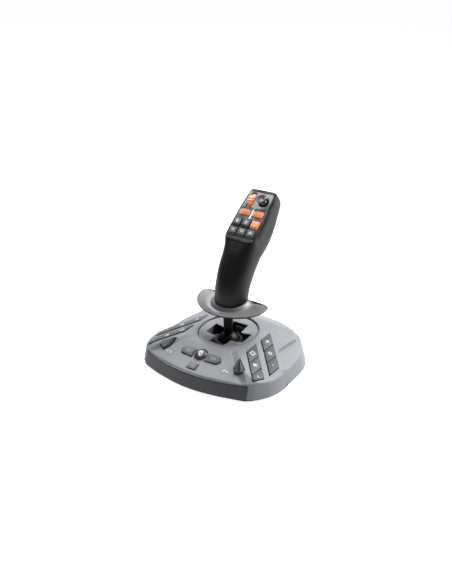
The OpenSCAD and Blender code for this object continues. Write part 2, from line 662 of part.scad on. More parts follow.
module grip_panel() {
    gap = key_gap;
    color(mid) difference() {
        union() {
            on_face(0, 0, -panel_t) linear_extrude(panel_t) panel_shape(0);
            // cheeks that carry the rockers
            for (x = [-1, 1]) on_face(scroll_x + x * 5.1, scroll_s, -6.6) linear_extrude(5)
                square([1.4, 8], center = true);
            for (c = [-1, 1], y = [-1, 1]) on_face(c * 10.2, rock_s + y * 5.1, -6.6)
                linear_extrude(5) square([8, 1.4], center = true);
            // stand-offs for the grip board
            for (q = [[-8, 32.9], [8, 32.9], [-2.4, 49.8]]) on_face(q[0], q[1], -10.95)
                cylinder(h = 9, d = 2.8, $fn = 20);
            // socket ring of the mini stick
            on_face(mini_x, mini_s, -9) difference() {
                cylinder(h = 7.4, r = 9, $fn = 48);
                translate([0, 0, -1]) cylinder(h = 10, r = 7.6, $fn = 48);
            }
        }
        on_face(scroll_x, scroll_s, -8) linear_extrude(20) round_rect(8.9, 21.6, 3);
        for (c = [-1, 1]) on_face(c * 10.2, rock_s, -8) linear_extrude(20)
            round_rect(16.6, 8.9, 1.6);
        on_face(mini_x, mini_s, -8) cylinder(h = 20, r = 7, $fn = 48);
        // shallow finger pockets above the two lower rockers
        for (c = [-1, 1]) on_face(c * 10.2, rock_s + 5.9, -1.3) linear_extrude(8)
            round_rect(15.4, 4.6, 1.4);
        on_face(thumb_pitch, key_s1, -8) linear_extrude(20)
            round_rect(thumb_w - 0.6 + 2 * gap, 11.6 + 2 * gap, 1);
        for (p = thumb_xy) on_face(p[0], p[1], -8) linear_extrude(20)
            round_rect(thumb_w + 2 * gap, 11.6 + 2 * gap, 1);
        // bores of the rocker axles
        on_face(scroll_x, scroll_s, -4.4) rotate([0, 90, 0])
            cylinder(h = 16, d = 2 + 2 * run, center = true, $fn = 24);
        for (c = [-1, 1]) on_face(c * 10.2, rock_s, -4.4) rotate([90, 0, 0])
            cylinder(h = 16, d = 2 + 2 * run, center = true, $fn = 24);
        // bores of the mini stick cradle
        on_face(mini_x, mini_s, -6) rotate([0, 90, 0])
            cylinder(h = 22, d = 2 + 2 * run, center = true, $fn = 24);
        // thin lit line between the two lower rockers
        on_face(0, rock_s - 1, -0.4) linear_extrude(2) square([1.1, 12], center = true);
    }
}

module grip_pcb() {
    color(green) union() {
        on_face(0, 0, -12.6) linear_extrude(1.6) polygon([[-17.5, 6], [17.5, 6], [15.5, 68], [-15.5, 68]]);
        // tact switches under the thumb keys
        for (p = concat(thumb_xy, [[thumb_pitch, key_s1]])) on_face(p[0] * 0.96, p[1], -11.05)
            linear_extrude(3.2) square([5, 5], center = true);
    }
}

// Rocker with an arched, ridged top, axle along local X, length along local Y
module rocker(len, wid, rise, corner, sag) {
    difference() {
        union() {
            intersection() {
                translate([-wid / 2, 0, 0]) rotate([90, 0, 90]) linear_extrude(wid) polygon(
                    concat([[-len / 2 + 1.6, -2], [len / 2 - 1.6, -2]],
                        [for (i = [0 : 10]) let (y = len / 2 - len * i / 10)
                            [y, rise + 4.4 - sag * pow(abs(y) / (len / 2), 2) + 0.35 * cos(i * 180)]]));
                translate([0, 0, -4]) linear_extrude(20) round_rect(wid, len, corner);
            }
            rotate([0, 90, 0]) cylinder(h = wid + 3.4, d = 2, center = true, $fn = 24);
        }
        translate([-wid / 2 + 1.2, -len / 2 + 3, -4]) cube([wid - 2.4, len - 6, 1.9]);
    }
}

module rocker_scroll() {
    color(orange) on_face(scroll_x, scroll_s, -4.4) rocker(20, 8, 2.2, 3, 3.6);
}
module rocker_left() {
    color(orange) on_face(-10.2, rock_s, -4.4) rotate(90) rocker(15, 8, 2.4, 1.6, 1.6);
}
module rocker_right() {
    color(orange) on_face(10.2, rock_s, -4.4) rotate(90) rocker(15, 8, 2.4, 1.6, 1.6);
}

module ministick_cradle() {
    color(dark) on_face(mini_x, mini_s, -6) difference() {
        union() {
            difference() {
                cylinder(h = 2.8, r = 6.4, center = true, $fn = 48);
                cylinder(h = 4, r = 4.6, center = true, $fn = 48);
            }
            rotate([0, 90, 0]) difference() {
                cylinder(h = 17.6, d = 2, center = true, $fn = 24);
                cylinder(h = 10, d = 3, center = true, $fn = 24);
            }
        }
        rotate([90, 0, 0]) cylinder(h = 20, d = 1.6 + 2 * run, center = true, $fn = 24);
    }
}

module ministick_cap() {
    color(dark) on_face(mini_x, mini_s, -6) union() {
        sphere(r = 4.1, $fn = 32);
        rotate([90, 0, 0]) cylinder(h = 12.4, d = 1.6, center = true, $fn = 24);
        cylinder(h = 13, d = 4.4, $fn = 32);
        translate([0, 0, 5.6]) sphere(r = 4.6, $fn = 32);
        // thumb pad with a hollow top
        translate([0, 0, 12.6]) rotate_extrude($fn = 48)
            polygon([[0, 0], [4, 0], [6.6, 1.2], [7, 2.6], [6.4, 3.6], [5.4, 3.7], [3, 2.9], [0, 2.6]]);
    }
}

module thumb_cap(x, s, w, l, rise) {
    // cap with a sloping front and a stem that reaches the switch below
    on_face(x, s, -5.4) union() {
        linear_extrude(6.2) round_rect(w, l, 1);
        intersection() {
            linear_extrude(5.4 + rise) round_rect(w, l, 1);
            translate([-w / 2, 0, 5.4]) rotate([90, 0, 90]) linear_extrude(w)
                polygon([[-l / 2, 0], [-l / 2, 0.7], [-l / 2 + 2.9, rise], [l / 2 - 0.5, rise],
                    [l / 2, rise - 0.6], [l / 2, 0]]);
        }
        translate([0, 0, -0.9]) cylinder(h = 1, d = 3, $fn = 24);
    }
}
module thumb_key(i) {
    thumb_cap(thumb_xy[i - 1][0], thumb_xy[i - 1][1], thumb_w, 11.6, thumb_rise);
}
module thumb_square() {
    color(orange) thumb_cap(thumb_pitch, key_s1, thumb_w - 0.6, 11.6, thumb_rise + 0.2);
}
module thumb_key_1() {
    color(dark) thumb_key(1);
}
module thumb_key_2() {
    color(dark) thumb_key(2);
}
module thumb_key_3() {
    color(dark) thumb_key(3);
}
module thumb_key_4() {
    color(dark) thumb_key(4);
}
module thumb_key_5() {
    color(dark) thumb_key(5);
}

module trigger() {
    color(dark) difference() {
        union() {
            intersection() {
                grip_outer();
                trigger_box(0);
            }
            on_face(0, trig_s, trig_h) rotate([0, 90, 0]) cylinder(h = 22, d = 5, center = true, $fn = 32);
            on_face(0, trig_s, trig_h) rotate([0, 90, 0]) cylinder(h = 31, d = 3, center = true, $fn = 32);
        }
        on_face(-8.6, 29, -38.4) cube([17.2, 20, 12]);
    }
}

// ---------------------------------------------------------------- deck controls
module deck_round() {
    color(dark) on_deck(0, round_y) union() {
        translate([0, 0, -5]) cylinder(h = 5.2, r = 8.6, $fn = 64);
        translate([0, 0, 0.2]) rotate_extrude($fn = 64)
            polygon(concat([[0, 0]], [for (a = [0 : 9 : 90]) [8.6 * cos(a), 3 * sin(a)]]));
        translate([0, 0, -7.4]) cylinder(h = 3, d = 4, $fn = 24);
    }
}
module penta_cap() {
    on_deck(0, penta_y) union() {
        translate([0, 0, -4.6]) linear_extrude(5.8) penta(0);
        translate([19, 0, -7]) cylinder(h = 3, d = 4, $fn = 24);
    }
}
module deck_penta_r() {
    color(mid) penta_cap();
}
module deck_penta_l() {
    color(mid) mirror([1, 0, 0]) penta_cap();
}
module deck_rect() {
    color(mid) on_deck(0, rect_y) union() {
        translate([0, 0, -4]) linear_extrude(5.2) round_rect(12.6, 8.6, 1);
        translate([0, 0, -6]) cylinder(h = 3, d = 4, $fn = 24);
    }
}
module paddle() {
    // ridged blade along the crease that rocks on an axle under the deck
    on_crease() difference() {
        union() {
            translate([0, 0, -5]) linear_extrude(9.6) paddle_shape(0);
            translate([58, -4.6, -6]) rotate([0, 90, 0]) cylinder(h = 20.6, d = 3, center = true, $fn = 24);
            translate([54, -8, -6]) cube([8, 6.6, 3]);
        }
        translate([50.5, 12.2, 4.4]) rotate(-63) rotate([21, 0, 0]) translate([-20, -30, 0])
            cube([60, 30, 14]);
        translate([50.5, 12.2, 4.4]) rotate(-63) rotate([-6, 0, 0]) translate([-20, 0, 0])
            cube([60, 30, 14]);
    }
}
module paddle_r() {
    color(mid) paddle();
}
module paddle_l() {
    color(mid) mirror([1, 0, 0]) paddle();
}

module wing_key(side, k) {
    m = wing_mid(k);
    color(mid) on_wing(side) union() {
        translate([0, 0, -3.6]) linear_extrude(3.6 + key_rise) wing_key_shape(k, key_gap);
        translate([m[0], m[1], -5.6]) cylinder(h = 3, d = 4, $fn = 24);
    }
}
module wing_key_l1() {
    wing_key(-1, 1);
}
module wing_key_l2() {
    wing_key(-1, 2);
}
module wing_key_l3() {
    wing_key(-1, 3);
}
module wing_key_l4() {
    wing_key(-1, 4);
}
module wing_key_l5() {
    wing_key(-1, 5);
}
module wing_key_l6() {
    wing_key(-1, 6);
}
module wing_key_r1() {
    wing_key(1, 1);
}
module wing_key_r2() {
    wing_key(1, 2);
}
module wing_key_r3() {
    wing_key(1, 3);
}
module wing_key_r4() {
    wing_key(1, 4);
}
module wing_key_r5() {
    wing_key(1, 5);
}
module wing_key_r6() {
    wing_key(1, 6);
}

module wing_pcb(side) {
    // board under the six wing keys with one switch below each
    color(green) on_wing(side) union() {
        translate([0, 0, -12]) linear_extrude(1.6) polygon([[5, -3], [34, -32], [45, -24],
            [46, 10], [22, 35], [5, 43]]);
        for (k = [1 : 6]) let (m = wing_mid(k)) translate([m[0], m[1], -10.45])
            linear_extrude(3.2) square([6, 6], center = true);
    }
}
module deck_pcb() {
    // board under the front deck with one switch below each button
    color(green) on_deck(0, -66) union() {
        translate([0, 0.5, -12.6]) linear_extrude(1.6) square([64, 37], center = true);
        for (q = [[0, 7], [-19, 7], [19, 7], [0, -12.3]])
            translate([q[0], q[1], -11.05]) linear_extrude(2) square([6, 6], center = true);
    }
}
module wing_pcb_l() {
    wing_pcb(-1);
}
module wing_pcb_r() {
    wing_pcb(1);
}

base_lower();
base_upper();
front_fascia();
well_plate();
gimbal_housing();
main_pcb();
sensor_pcb();
deck_pcb();
wing_pcb_l();
wing_pcb_r();
weight_plate();
rubber_feet();
case_screws();
cable_gland();
gimbal_yoke();
stick_shaft();
stick_boot();
spring_cup();
centering_spring();
shaft_magnet();
grip_left();
grip_right();
grip_panel();
hand_rest();
twist_collar();
grip_pcb();
grip_screws();
trigger();
rocker_scroll();
rocker_left();
rocker_right();
ministick_cradle();
ministick_cap();
thumb_square();
thumb_key_1();
thumb_key_2();
thumb_key_3();
thumb_key_4();
thumb_key_5();
deck_round();
deck_penta_l();
deck_penta_r();
deck_rect();
paddle_l();
paddle_r();
wing_key_l1();
wing_key_l2();
wing_key_l3();
wing_key_l4();
wing_key_l5();
wing_key_l6();
wing_key_r1();
wing_key_r2();
wing_key_r3();
wing_key_r4();
wing_key_r5();
wing_key_r6();
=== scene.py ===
import math

import bpy
import bmesh
from mathutils import Matrix, Vector


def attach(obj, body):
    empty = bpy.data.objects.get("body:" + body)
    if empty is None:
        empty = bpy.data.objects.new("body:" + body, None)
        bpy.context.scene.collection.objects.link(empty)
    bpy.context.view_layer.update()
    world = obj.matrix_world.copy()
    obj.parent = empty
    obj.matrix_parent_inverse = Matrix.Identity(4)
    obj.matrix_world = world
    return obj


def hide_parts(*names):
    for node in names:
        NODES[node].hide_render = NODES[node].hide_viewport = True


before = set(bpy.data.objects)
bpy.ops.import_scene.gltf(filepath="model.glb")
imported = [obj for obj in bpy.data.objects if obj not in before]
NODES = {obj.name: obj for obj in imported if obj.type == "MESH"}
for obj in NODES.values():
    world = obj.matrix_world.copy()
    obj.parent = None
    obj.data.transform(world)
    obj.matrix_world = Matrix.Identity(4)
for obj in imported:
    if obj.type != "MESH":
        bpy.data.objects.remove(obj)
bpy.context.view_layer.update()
MM = 0.001

# ------------------------------------------------------------------ camera
CAM_AZ = 35.571          # degrees from straight in front, towards the object's right
CAM_EL = 26.991          # degrees above the horizon
CAM_ROLL = -1.195
CAM_DIST = 0.960         # metres from the target
CAM_TARGET = Vector((0.0, 0.01617, 0.060))
LENS = 44.977
FRAME_H = 584.0          # image height, pixels
SHIFT = (-9.222 / FRAME_H, 20.351 / FRAME_H)


def make_camera():
    az, el, ro = (math.radians(v) for v in (CAM_AZ, CAM_EL, CAM_ROLL))
    back = Vector((math.sin(az) * math.cos(el), -math.cos(az) * math.cos(el), math.sin(el)))
    right0 = Vector((math.cos(az), math.sin(az), 0.0))
    up0 = back.cross(right0)
    right = right0 * math.cos(ro) + up0 * math.sin(ro)
    up = up0 * math.cos(ro) - right0 * math.sin(ro)
    cam = bpy.data.cameras.new("photo_camera")
    cam.sensor_width = 36.0
    cam.lens = LENS
    cam.shift_x, cam.shift_y = SHIFT
    cam.clip_start = 0.01
    cam.clip_end = 20.0
    cam.dof.use_dof = False
    ob = bpy.data.objects.new("photo_camera", cam)
    bpy.context.scene.collection.objects.link(ob)
    rot = Matrix((right, up, back)).transposed().to_4x4()
    ob.matrix_world = Matrix.Translation(CAM_TARGET + back * CAM_DIST) @ rot
    bpy.context.scene.camera = ob


make_camera()


# ------------------------------------------------------------------ materials
PAINTED_SHADE_LOW, PAINTED_SHADE_HIGH, PAINTED_SHADE_ROUGH = 0.172, 0.186, 0.62   # heights of the painted shade on the panel, metres: below them the panel is painted near black where its reflection fades; last value is the roughness there


def node_mat(name, color, rough=0.5, bump=0.15, grain=900.0, mottle=0.06, coat=0.0,
             metal=0.0, spec=0.5, wear=0.0, bump_dist=0.0002, painted_shade_to=None):
    """Moulded plastic, rubber or metal: fine grain bump, slow tone change, uneven roughness;
    painted_shade_to paints everything below a height darker as painted shade.
    """
    m = bpy.data.materials.new(name)
    m.use_nodes = True
    nt = m.node_tree
    nt.nodes.clear()
    N = nt.nodes.new
    L = nt.links.new
    out = N("ShaderNodeOutputMaterial")
    p = N("ShaderNodeBsdfPrincipled")
    L(p.outputs["BSDF"], out.inputs["Surface"])
    tc = N("ShaderNodeTexCoord")
    fine = N("ShaderNodeTexNoise")
    fine.inputs["Scale"].default_value = grain
    fine.inputs["Detail"].default_value = 3.0
    L(tc.outputs["Object"], fine.inputs["Vector"])
    slow = N("ShaderNodeTexNoise")
    slow.inputs["Scale"].default_value = 24.0
    slow.inputs["Detail"].default_value = 4.0
    L(tc.outputs["Object"], slow.inputs["Vector"])
    tone = N("ShaderNodeMapRange")
    tone.inputs["From Min"].default_value = 0.3
    tone.inputs["From Max"].default_value = 0.7
    tone.inputs["To Min"].default_value = 1.0 - mottle
    tone.inputs["To Max"].default_value = 1.0 + mottle
    L(slow.outputs["Fac"], tone.inputs["Value"])
    mul = N("ShaderNodeVectorMath")
    mul.operation = "SCALE"
    mul.inputs[0].default_value = color
    L(tone.outputs["Result"], mul.inputs["Scale"])
    last = mul.outputs["Vector"]
    # painted shade: below the given height the colour turns darker, standing in for the panel's
    # reflection fading towards its bottom
    if painted_shade_to:
        sep = N("ShaderNodeSeparateXYZ")
        L(tc.outputs["Object"], sep.inputs["Vector"])
        painted_shade_ramp = N("ShaderNodeMapRange")
        painted_shade_ramp.interpolation_type = "SMOOTHSTEP"
        painted_shade_ramp.inputs["From Min"].default_value = PAINTED_SHADE_LOW
        painted_shade_ramp.inputs["From Max"].default_value = PAINTED_SHADE_HIGH
        L(sep.outputs["Z"], painted_shade_ramp.inputs["Value"])
        painted_shade_mix = N("ShaderNodeMix")
        painted_shade_mix.data_type = "RGBA"
        painted_shade_mix.inputs["A"].default_value = (*painted_shade_to, 1.0)
        L(painted_shade_ramp.outputs["Result"], painted_shade_mix.inputs["Factor"])
        L(last, painted_shade_mix.inputs["B"])
        last = painted_shade_mix.outputs["Result"]
    if wear > 0.0:
        geo = N("ShaderNodeNewGeometry")
        edge = N("ShaderNodeMapRange")
        edge.inputs["From Min"].default_value = 0.53
        edge.inputs["From Max"].default_value = 0.62
        edge.inputs["To Min"].default_value = 0.0
        edge.inputs["To Max"].default_value = wear
        L(geo.outputs["Pointiness"], edge.inputs["Value"])
        mix = N("ShaderNodeMix")
        mix.data_type = "RGBA"
        light = [min(1.0, c * 1.5 + 0.05) for c in color]
        mix.inputs["B"].default_value = (*light, 1.0)
        L(edge.outputs["Result"], mix.inputs["Factor"])
        L(last, mix.inputs["A"])
        last = mix.outputs["Result"]
    L(last, p.inputs["Base Color"])
    rr = N("ShaderNodeMapRange")
    rr.inputs["From Min"].default_value = 0.3
    rr.inputs["From Max"].default_value = 0.7
    rr.inputs["To Min"].default_value = max(0.02, rough - 0.06)
    rr.inputs["To Max"].default_value = min(1.0, rough + 0.06)
    L(slow.outputs["Fac"], rr.inputs["Value"])
    rough_out = rr.outputs["Result"]
    if painted_shade_to:
        rough_mix = N("ShaderNodeMix")
        rough_mix.inputs["A"].default_value = PAINTED_SHADE_ROUGH
        L(painted_shade_ramp.outputs["Result"], rough_mix.inputs["Factor"])
        L(rough_out, rough_mix.inputs["B"])
        rough_out = rough_mix.outputs["Result"]
    L(rough_out, p.inputs["Roughness"])
    bp = N("ShaderNodeBump")
    bp.inputs["Strength"].default_value = bump
    bp.inputs["Distance"].default_value = bump_dist
    L(fine.outputs["Fac"], bp.inputs["Height"])
    L(bp.outputs["Normal"], p.inputs["Normal"])
    p.inputs["Metallic"].default_value = metal
    p.inputs["Specular IOR Level"].default_value = spec
    p.inputs["Coat Weight"].default_value = coat
    p.inputs["Coat Roughness"].default_value = 0.12
    return m


M_LIGHT = node_mat("shell_light_grey", (0.15, 0.157, 0.171), 0.56, 0.25, 1400, 0.03, spec=0.4, wear=0.15)
# Crease strips: the deck colour painted darker, as painted shade on the sloping strip facets.
M_STRIP_SHADE = node_mat("crease_strip_painted_shade", (0.105, 0.11, 0.121), 0.56, 0.25, 1400, 0.04, spec=0.4)
M_BAND = node_mat("band_dark_grey", (0.024, 0.025, 0.031), 0.46, 0.2, 1400, 0.04, spec=0.4, wear=0.2)
M_KEY = node_mat("key_mid_grey", (0.042, 0.044, 0.048), 0.5, 0.2, 1600, 0.05, spec=0.35, wear=0.5)
M_REST = node_mat("rest_grey", (0.105, 0.105, 0.107), 0.38, 0.2, 1400, 0.04, wear=0.25)
M_GRIP = node_mat("grip_soft_black", (0.0026, 0.0024, 0.0024), 0.42, 0.3, 1800, 0.08, spec=0.22)
M_BLACK = node_mat("black_plastic", (0.002, 0.002, 0.0022), 0.42, 0.2, 1500, 0.08, spec=0.14)
M_MINI = node_mat("stick_cap_black", (0.012, 0.012, 0.0125), 0.3, 0.1, 1500, 0.08)
# Panel: grey above and painted shade (near black) below, standing in for its reflection fading towards
# the bottom.
M_PANEL_SHADED = node_mat("panel_grey_painted_shade", (0.135, 0.131, 0.132), 0.34, 0.2, 1500, 0.05, wear=0.15,
                   painted_shade_to=(0.008, 0.008, 0.008))
M_ORANGE = node_mat("control_orange", (0.6, 0.2, 0.075), 0.36, 0.15, 1200, 0.05, wear=0.4)
M_TKEY = node_mat("thumb_key_black", (0.009, 0.009, 0.0095), 0.36, 0.2, 1500, 0.06, spec=0.4, wear=0.4)
M_GLOSS = node_mat("gloss_black", (0.02, 0.02, 0.022), 0.3, 0.05, 900, 0.04, coat=0.1)
M_HOUSE = node_mat("housing_grey", (0.09, 0.092, 0.1), 0.5, 0.25, 1200, 0.05)
M_PCB = node_mat("board_green", (0.02, 0.12, 0.05), 0.35, 0.3, 700, 0.12)
M_STEEL = node_mat("plated_steel", (0.55, 0.55, 0.57), 0.32, 0.1, 2200, 0.06, metal=1.0)
M_RUBBER = node_mat("foot_rubber", (0.02, 0.02, 0.02), 0.8, 0.4, 1200, 0.1)
M_ICON = node_mat("printed_white", (0.75, 0.75, 0.75), 0.5, 0.05, 1500, 0.04)
M_LINE = node_mat("light_guide_white", (0.95, 0.95, 0.95), 0.4, 0.05, 1500, 0.02)
# Painted shade: near-black, almost unreflective paint for the grip's side groove, standing in for the
# shade inside it.
M_GROOVE_SHADE = node_mat("groove_painted_shade_black", (0.001, 0.001, 0.001), 0.7, 0.2, 1500, 0.05, spec=0.05)
M_DIM = node_mat("printed_grey", (0.28, 0.28, 0.29), 0.5, 0.05, 1500, 0.04)


def mat_for(n):
    if n in ("base_upper", "well_plate"):
        return M_LIGHT
    if n == "front_fascia":
        return M_BAND
    if n == "gimbal_housing":
        return M_HOUSE
    if n.endswith("_pcb") or "_pcb_" in n:
        return M_PCB
    if n in ("weight_plate", "case_screws", "centering_spring", "shaft_magnet", "grip_screws"):
        return M_STEEL
    if n in ("rubber_feet", "cable_gland"):
        return M_RUBBER
    if n.startswith("rocker") or n == "thumb_square":
        return M_ORANGE
    if n == "deck_round":
        return M_GLOSS
    if n.startswith("wing_key") or n.startswith("deck_") or n.startswith("paddle"):
        return M_KEY
    if n == "hand_rest":
        return M_REST
    if n == "grip_panel":
        return M_PANEL_SHADED
    if n.startswith("thumb_key"):
        return M_TKEY
    if n in ("grip_left", "grip_right", "trigger"):
        return M_GRIP
    return M_BLACK


for node_name, node_ob in NODES.items():
    for s in node_ob.material_slots:
        s.material = mat_for(node_name)


# ------------------------------------------------------------------ mesh helpers
def new_piece(name, verts, faces, mat):
    me = bpy.data.meshes.new(name)
    me.from_pydata([tuple(c * MM for c in v) for v in verts], [], faces)
    me.materials.append(mat)
    bm = bmesh.new()
    bm.from_mesh(me)
    bmesh.ops.recalc_face_normals(bm, faces=bm.faces)
    bm.to_mesh(me)
    bm.free()
    ob = bpy.data.objects.new(name, me)
    bpy.context.scene.collection.objects.link(ob)
    return ob


def grid_faces(rows, cols, wrap_rows=False, wrap_cols=True, caps=False):
    """Quads of a grid of rows x cols points; caps closes the first and last row."""
    faces = []
    for j in range(rows if wrap_rows else rows - 1):
        for i in range(cols if wrap_cols else cols - 1):
            a, b = j * cols + i, j * cols + (i + 1) % cols
            k = (j + 1) % rows
            faces.append((a, b, k * cols + (i + 1) % cols, k * cols + i))
    if caps:
        faces.append(tuple(range(cols - 1, -1, -1)))
        faces.append(tuple((rows - 1) * cols + i for i in range(cols)))
    return faces


def apply_mods(ob):
    deps = bpy.context.evaluated_depsgraph_get()
    me = bpy.data.meshes.new_from_object(ob.evaluated_get(deps))
    ob.modifiers.clear()
    old = ob.data
    ob.data = me
    me.name = old.name
    bpy.data.meshes.remove(old)


def cut(ob, cutter, op="DIFFERENCE"):
    m = ob.modifiers.new("cut", "BOOLEAN")
    m.operation = op
    m.solver = "MANIFOLD"
    m.object = cutter
    apply_mods(ob)
    bpy.data.objects.remove(cutter, do_unlink=True)


def smooth(ob, angle=35.0):
    for p in ob.data.polygons:
        p.use_smooth = True
    ob.data.set_sharp_from_angle(angle=math.radians(angle))


def round_edges(ob, width, segments=2, angle=30.0):
    m = ob.modifiers.new("edge", "BEVEL")
    m.width = width * MM
    m.segments = segments
    m.limit_method = "ANGLE"
    m.angle_limit = math.radians(angle)
    m.use_clamp_overlap = True
    apply_mods(ob)


def refine(node, body, width, mat, segments=3, angle=28.0):
    """Copy of a CAD node with rounded edges, which stands for it."""
    src = NODES[node]
    ob = bpy.data.objects.new(node + "_soft", src.data.copy())
    ob.matrix_world = src.matrix_world.copy()
    bpy.context.scene.collection.objects.link(ob)
    ob.data.materials.clear()
    ob.data.materials.append(mat)
    bm = bmesh.new()
    bm.from_mesh(ob.data)
    bmesh.ops.remove_doubles(bm, verts=bm.verts, dist=1e-6)
    bmesh.ops.dissolve_limit(bm, angle_limit=math.radians(1.5), verts=bm.verts, edges=bm.edges)
    for f in bm.faces:
        f.material_index = 0
    bm.to_mesh(ob.data)
    bm.free()
    round_edges(ob, width, segments, angle)
    smooth(ob, 38.0)
    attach(ob, body)
    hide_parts(node)
    return ob


def prism(name, pts, z0, z1, place):
    """Closed prism over a plan outline, put in place by a function of local x, y, z."""
    n = len(pts)
    verts = [place(p[0], p[1], z0) for p in pts] + [place(p[0], p[1], z1) for p in pts]
    return new_piece(name, verts, grid_faces(2, n, caps=True), M_BLACK)


def join(name, obs):
    verts, faces = [], []
    for ob in obs:
        base = len(verts)
        verts += [v.co.copy() for v in ob.data.vertices]
        faces += [tuple(base + i for i in p.vertices) for p in ob.data.polygons]
        mat = ob.data.materials[0]
        bpy.data.objects.remove(ob, do_unlink=True)
    me = bpy.data.meshes.new(name)
    me.from_pydata(verts, [], faces)
    me.materials.append(mat)
    ob = bpy.data.objects.new(name, me)
    bpy.context.scene.collection.objects.link(ob)
    return ob


def offset_poly(pts, d):
    """Outline moved outward by d with sharp corners."""
    n = len(pts)
    area = sum(pts[i][0] * pts[(i + 1) % n][1] - pts[(i + 1) % n][0] * pts[i][1] for i in range(n))
    s = 1.0 if area > 0 else -1.0
    out = []
    for i in range(n):
        p, a, b = (Vector(pts[k]) for k in (i, i - 1, (i + 1) % n))
        u, v = (p - a).normalized(), (b - p).normalized()
        nu, nv = Vector((u.y, -u.x)) * s, Vector((v.y, -v.x)) * s
        out.append(tuple(p + (nu + nv) * (d / (1.0 + nu.dot(nv)))))
    return out


def pchip(tab):
    """Smooth interpolation through a table of (t, value) without overshoot."""
    ts = [p[0] for p in tab]
    vs = [p[1] for p in tab]
    n = len(tab)
    sl = [(vs[i + 1] - vs[i]) / (ts[i + 1] - ts[i]) for i in range(n - 1)]
    m = [sl[0]] + [0.0 if sl[i - 1] * sl[i] <= 0 else 2 * sl[i - 1] * sl[i] / (sl[i - 1] + sl[i])
                   for i in range(1, n - 1)] + [sl[-1]]

    def f(t):
        t = min(max(t, ts[0]), ts[-1])
        i = 0
        while i < n - 2 and t > ts[i + 1]:
            i += 1
        h = ts[i + 1] - ts[i]
        u = (t - ts[i]) / h
        return ((1 + 2 * u) * (1 - u) ** 2 * vs[i] + u * (1 - u) ** 2 * h * m[i]
                + u * u * (3 - 2 * u) * vs[i + 1] + u * u * (u - 1) * h * m[i + 1])
    return f


def clamp(v, a, b):
    return max(a, min(b, v))


def mix(a, b, t):
    return a + (b - a) * t


def sstep(v):
    v = clamp(v, 0.0, 1.0)
    return v * v * (3 - 2 * v)


# ------------------------------------------------------------------ base shape, millimetres
BAND_Z, BAND_HALF = 20.3, 79.6            # top of the front band, half its length
RIM_Z, RIM_SLOPE, WELL_R = 41.5, 0.054, 40.2
RING_W, RING_SLOPE = 2.8, 0.12            # flat ring around the well
LEDGE_R = 37.8                            # ledge that carries the well plate
FRONT_SLOPE, OUTER_SLOPE = 0.41, 0.62     # rise of the deck inside and outside the crease
WING_X, WING_Y, WING_Z = 46, -30, 39      # origin of a wing plane
WING_SLOPE, WING_LEAN = 0.335, 0.04
SHELL_Z0, WALL, EDGE_DROP = 2.6, 2.4, 2.4
LOBE_A = -13.4                            # plan angle where a rear lobe starts, degrees
OUTLET_R, OUTLET_Z = 5.3, 12


def rim(y):
    return RIM_Z + RIM_SLOPE * y


def arc_y(x):
    return -89 + 0.0026 * x * x


STRIP_A, STRIP_D = Vector((30, -33)), Vector((45.5, -42))
STRIP_D.normalize()
STRIP_N = Vector((-STRIP_D.y, STRIP_D.x))


def strip_uv(x, y):
    q = Vector((abs(x), y)) - STRIP_A
    return q.dot(STRIP_D), q.dot(STRIP_N)


def soft_min(vals, k=0.5):
    lo = min(vals)
    return lo - k * math.log(sum(math.exp(-(v - lo) / k) for v in vals))


def ring_z(y, r):
    return rim(y) - RING_SLOPE * (r - WELL_R - RING_W)


def deck_in(x, y, k=0.0):
    """Height of the front deck; k rounds the meeting of its planes."""
    r = math.hypot(x, y)
    vals = (BAND_Z + FRONT_SLOPE * (y - arc_y(x)), ring_z(y, r))
    return soft_min(vals, k) if k else min(vals)


def deck_out(x, y, k=0.0):
    """Height outside the crease: side of the front, wing, ring and rear."""
    r = math.hypot(x, y)
    vals = (BAND_Z + OUTER_SLOPE * (y - arc_y(x)),
            WING_Z - WING_SLOPE * (abs(x) - WING_X) + WING_LEAN * (y - WING_Y),
            ring_z(y, r), rim(45) - 0.45 * (y - 45) - 0.0012 * x * x)
    return soft_min(vals, k) if k else min(vals)


def deck_z(x, y, k=0.0):
    s = strip_uv(x, y)[1]
    return mix(deck_in(x, y, k), deck_out(x, y, k), clamp((s + 3.5) / 7, 0, 1))


FOOT_FRONT = pchip([(-90, 93), (-84, 93.3), (-78, 93.9), (-72, 95.2), (-66, 97), (-60, 99.8),
                    (-54, 103.3), (-48, 108), (-45, 111), (-42, 112.4), (-38, 113), (-34, 112.9),
                    (-28, 112.7), (-22, 111), (-16, 108.6), (-13.4, 107.4)])
FOOT_BACK = pchip([(-13.4, 104.4), (-6, 103.4), (2, 102.8), (8, 102.9), (14, 103.3), (20, 103),
                   (26, 102), (32, 101), (40, 99.5), (50, 97.6), (60, 95.5), (70, 93.8),
                   (80, 92.4), (90, 92)])
STEP_R = pchip([(-14, 106), (-11, 101), (-5, 87.5), (0, 78.5), (5, 75.5), (10, 76.5), (15, 78.6),
                (20, 81.5), (25, 86), (30, 89.5), (40, 89), (50, 87), (60, 85), (70, 83.5),
                (80, 82.4), (90, 82)])


def fold(a):
    b = (a + 360) % 360
    return b if b <= 90 else 180 - b if b <= 270 else b - 360


def seg_dist(x, y, a, b):
    p, a, b = Vector((x, y)), Vector(a), Vector(b)
    d = b - a
    t = clamp((p - a).dot(d) / d.length_squared, 0, 1)
    return (p - a - d * t).length


REAR_PANEL = [(47, 33), (62, 26), (71, 42), (55, 49)]


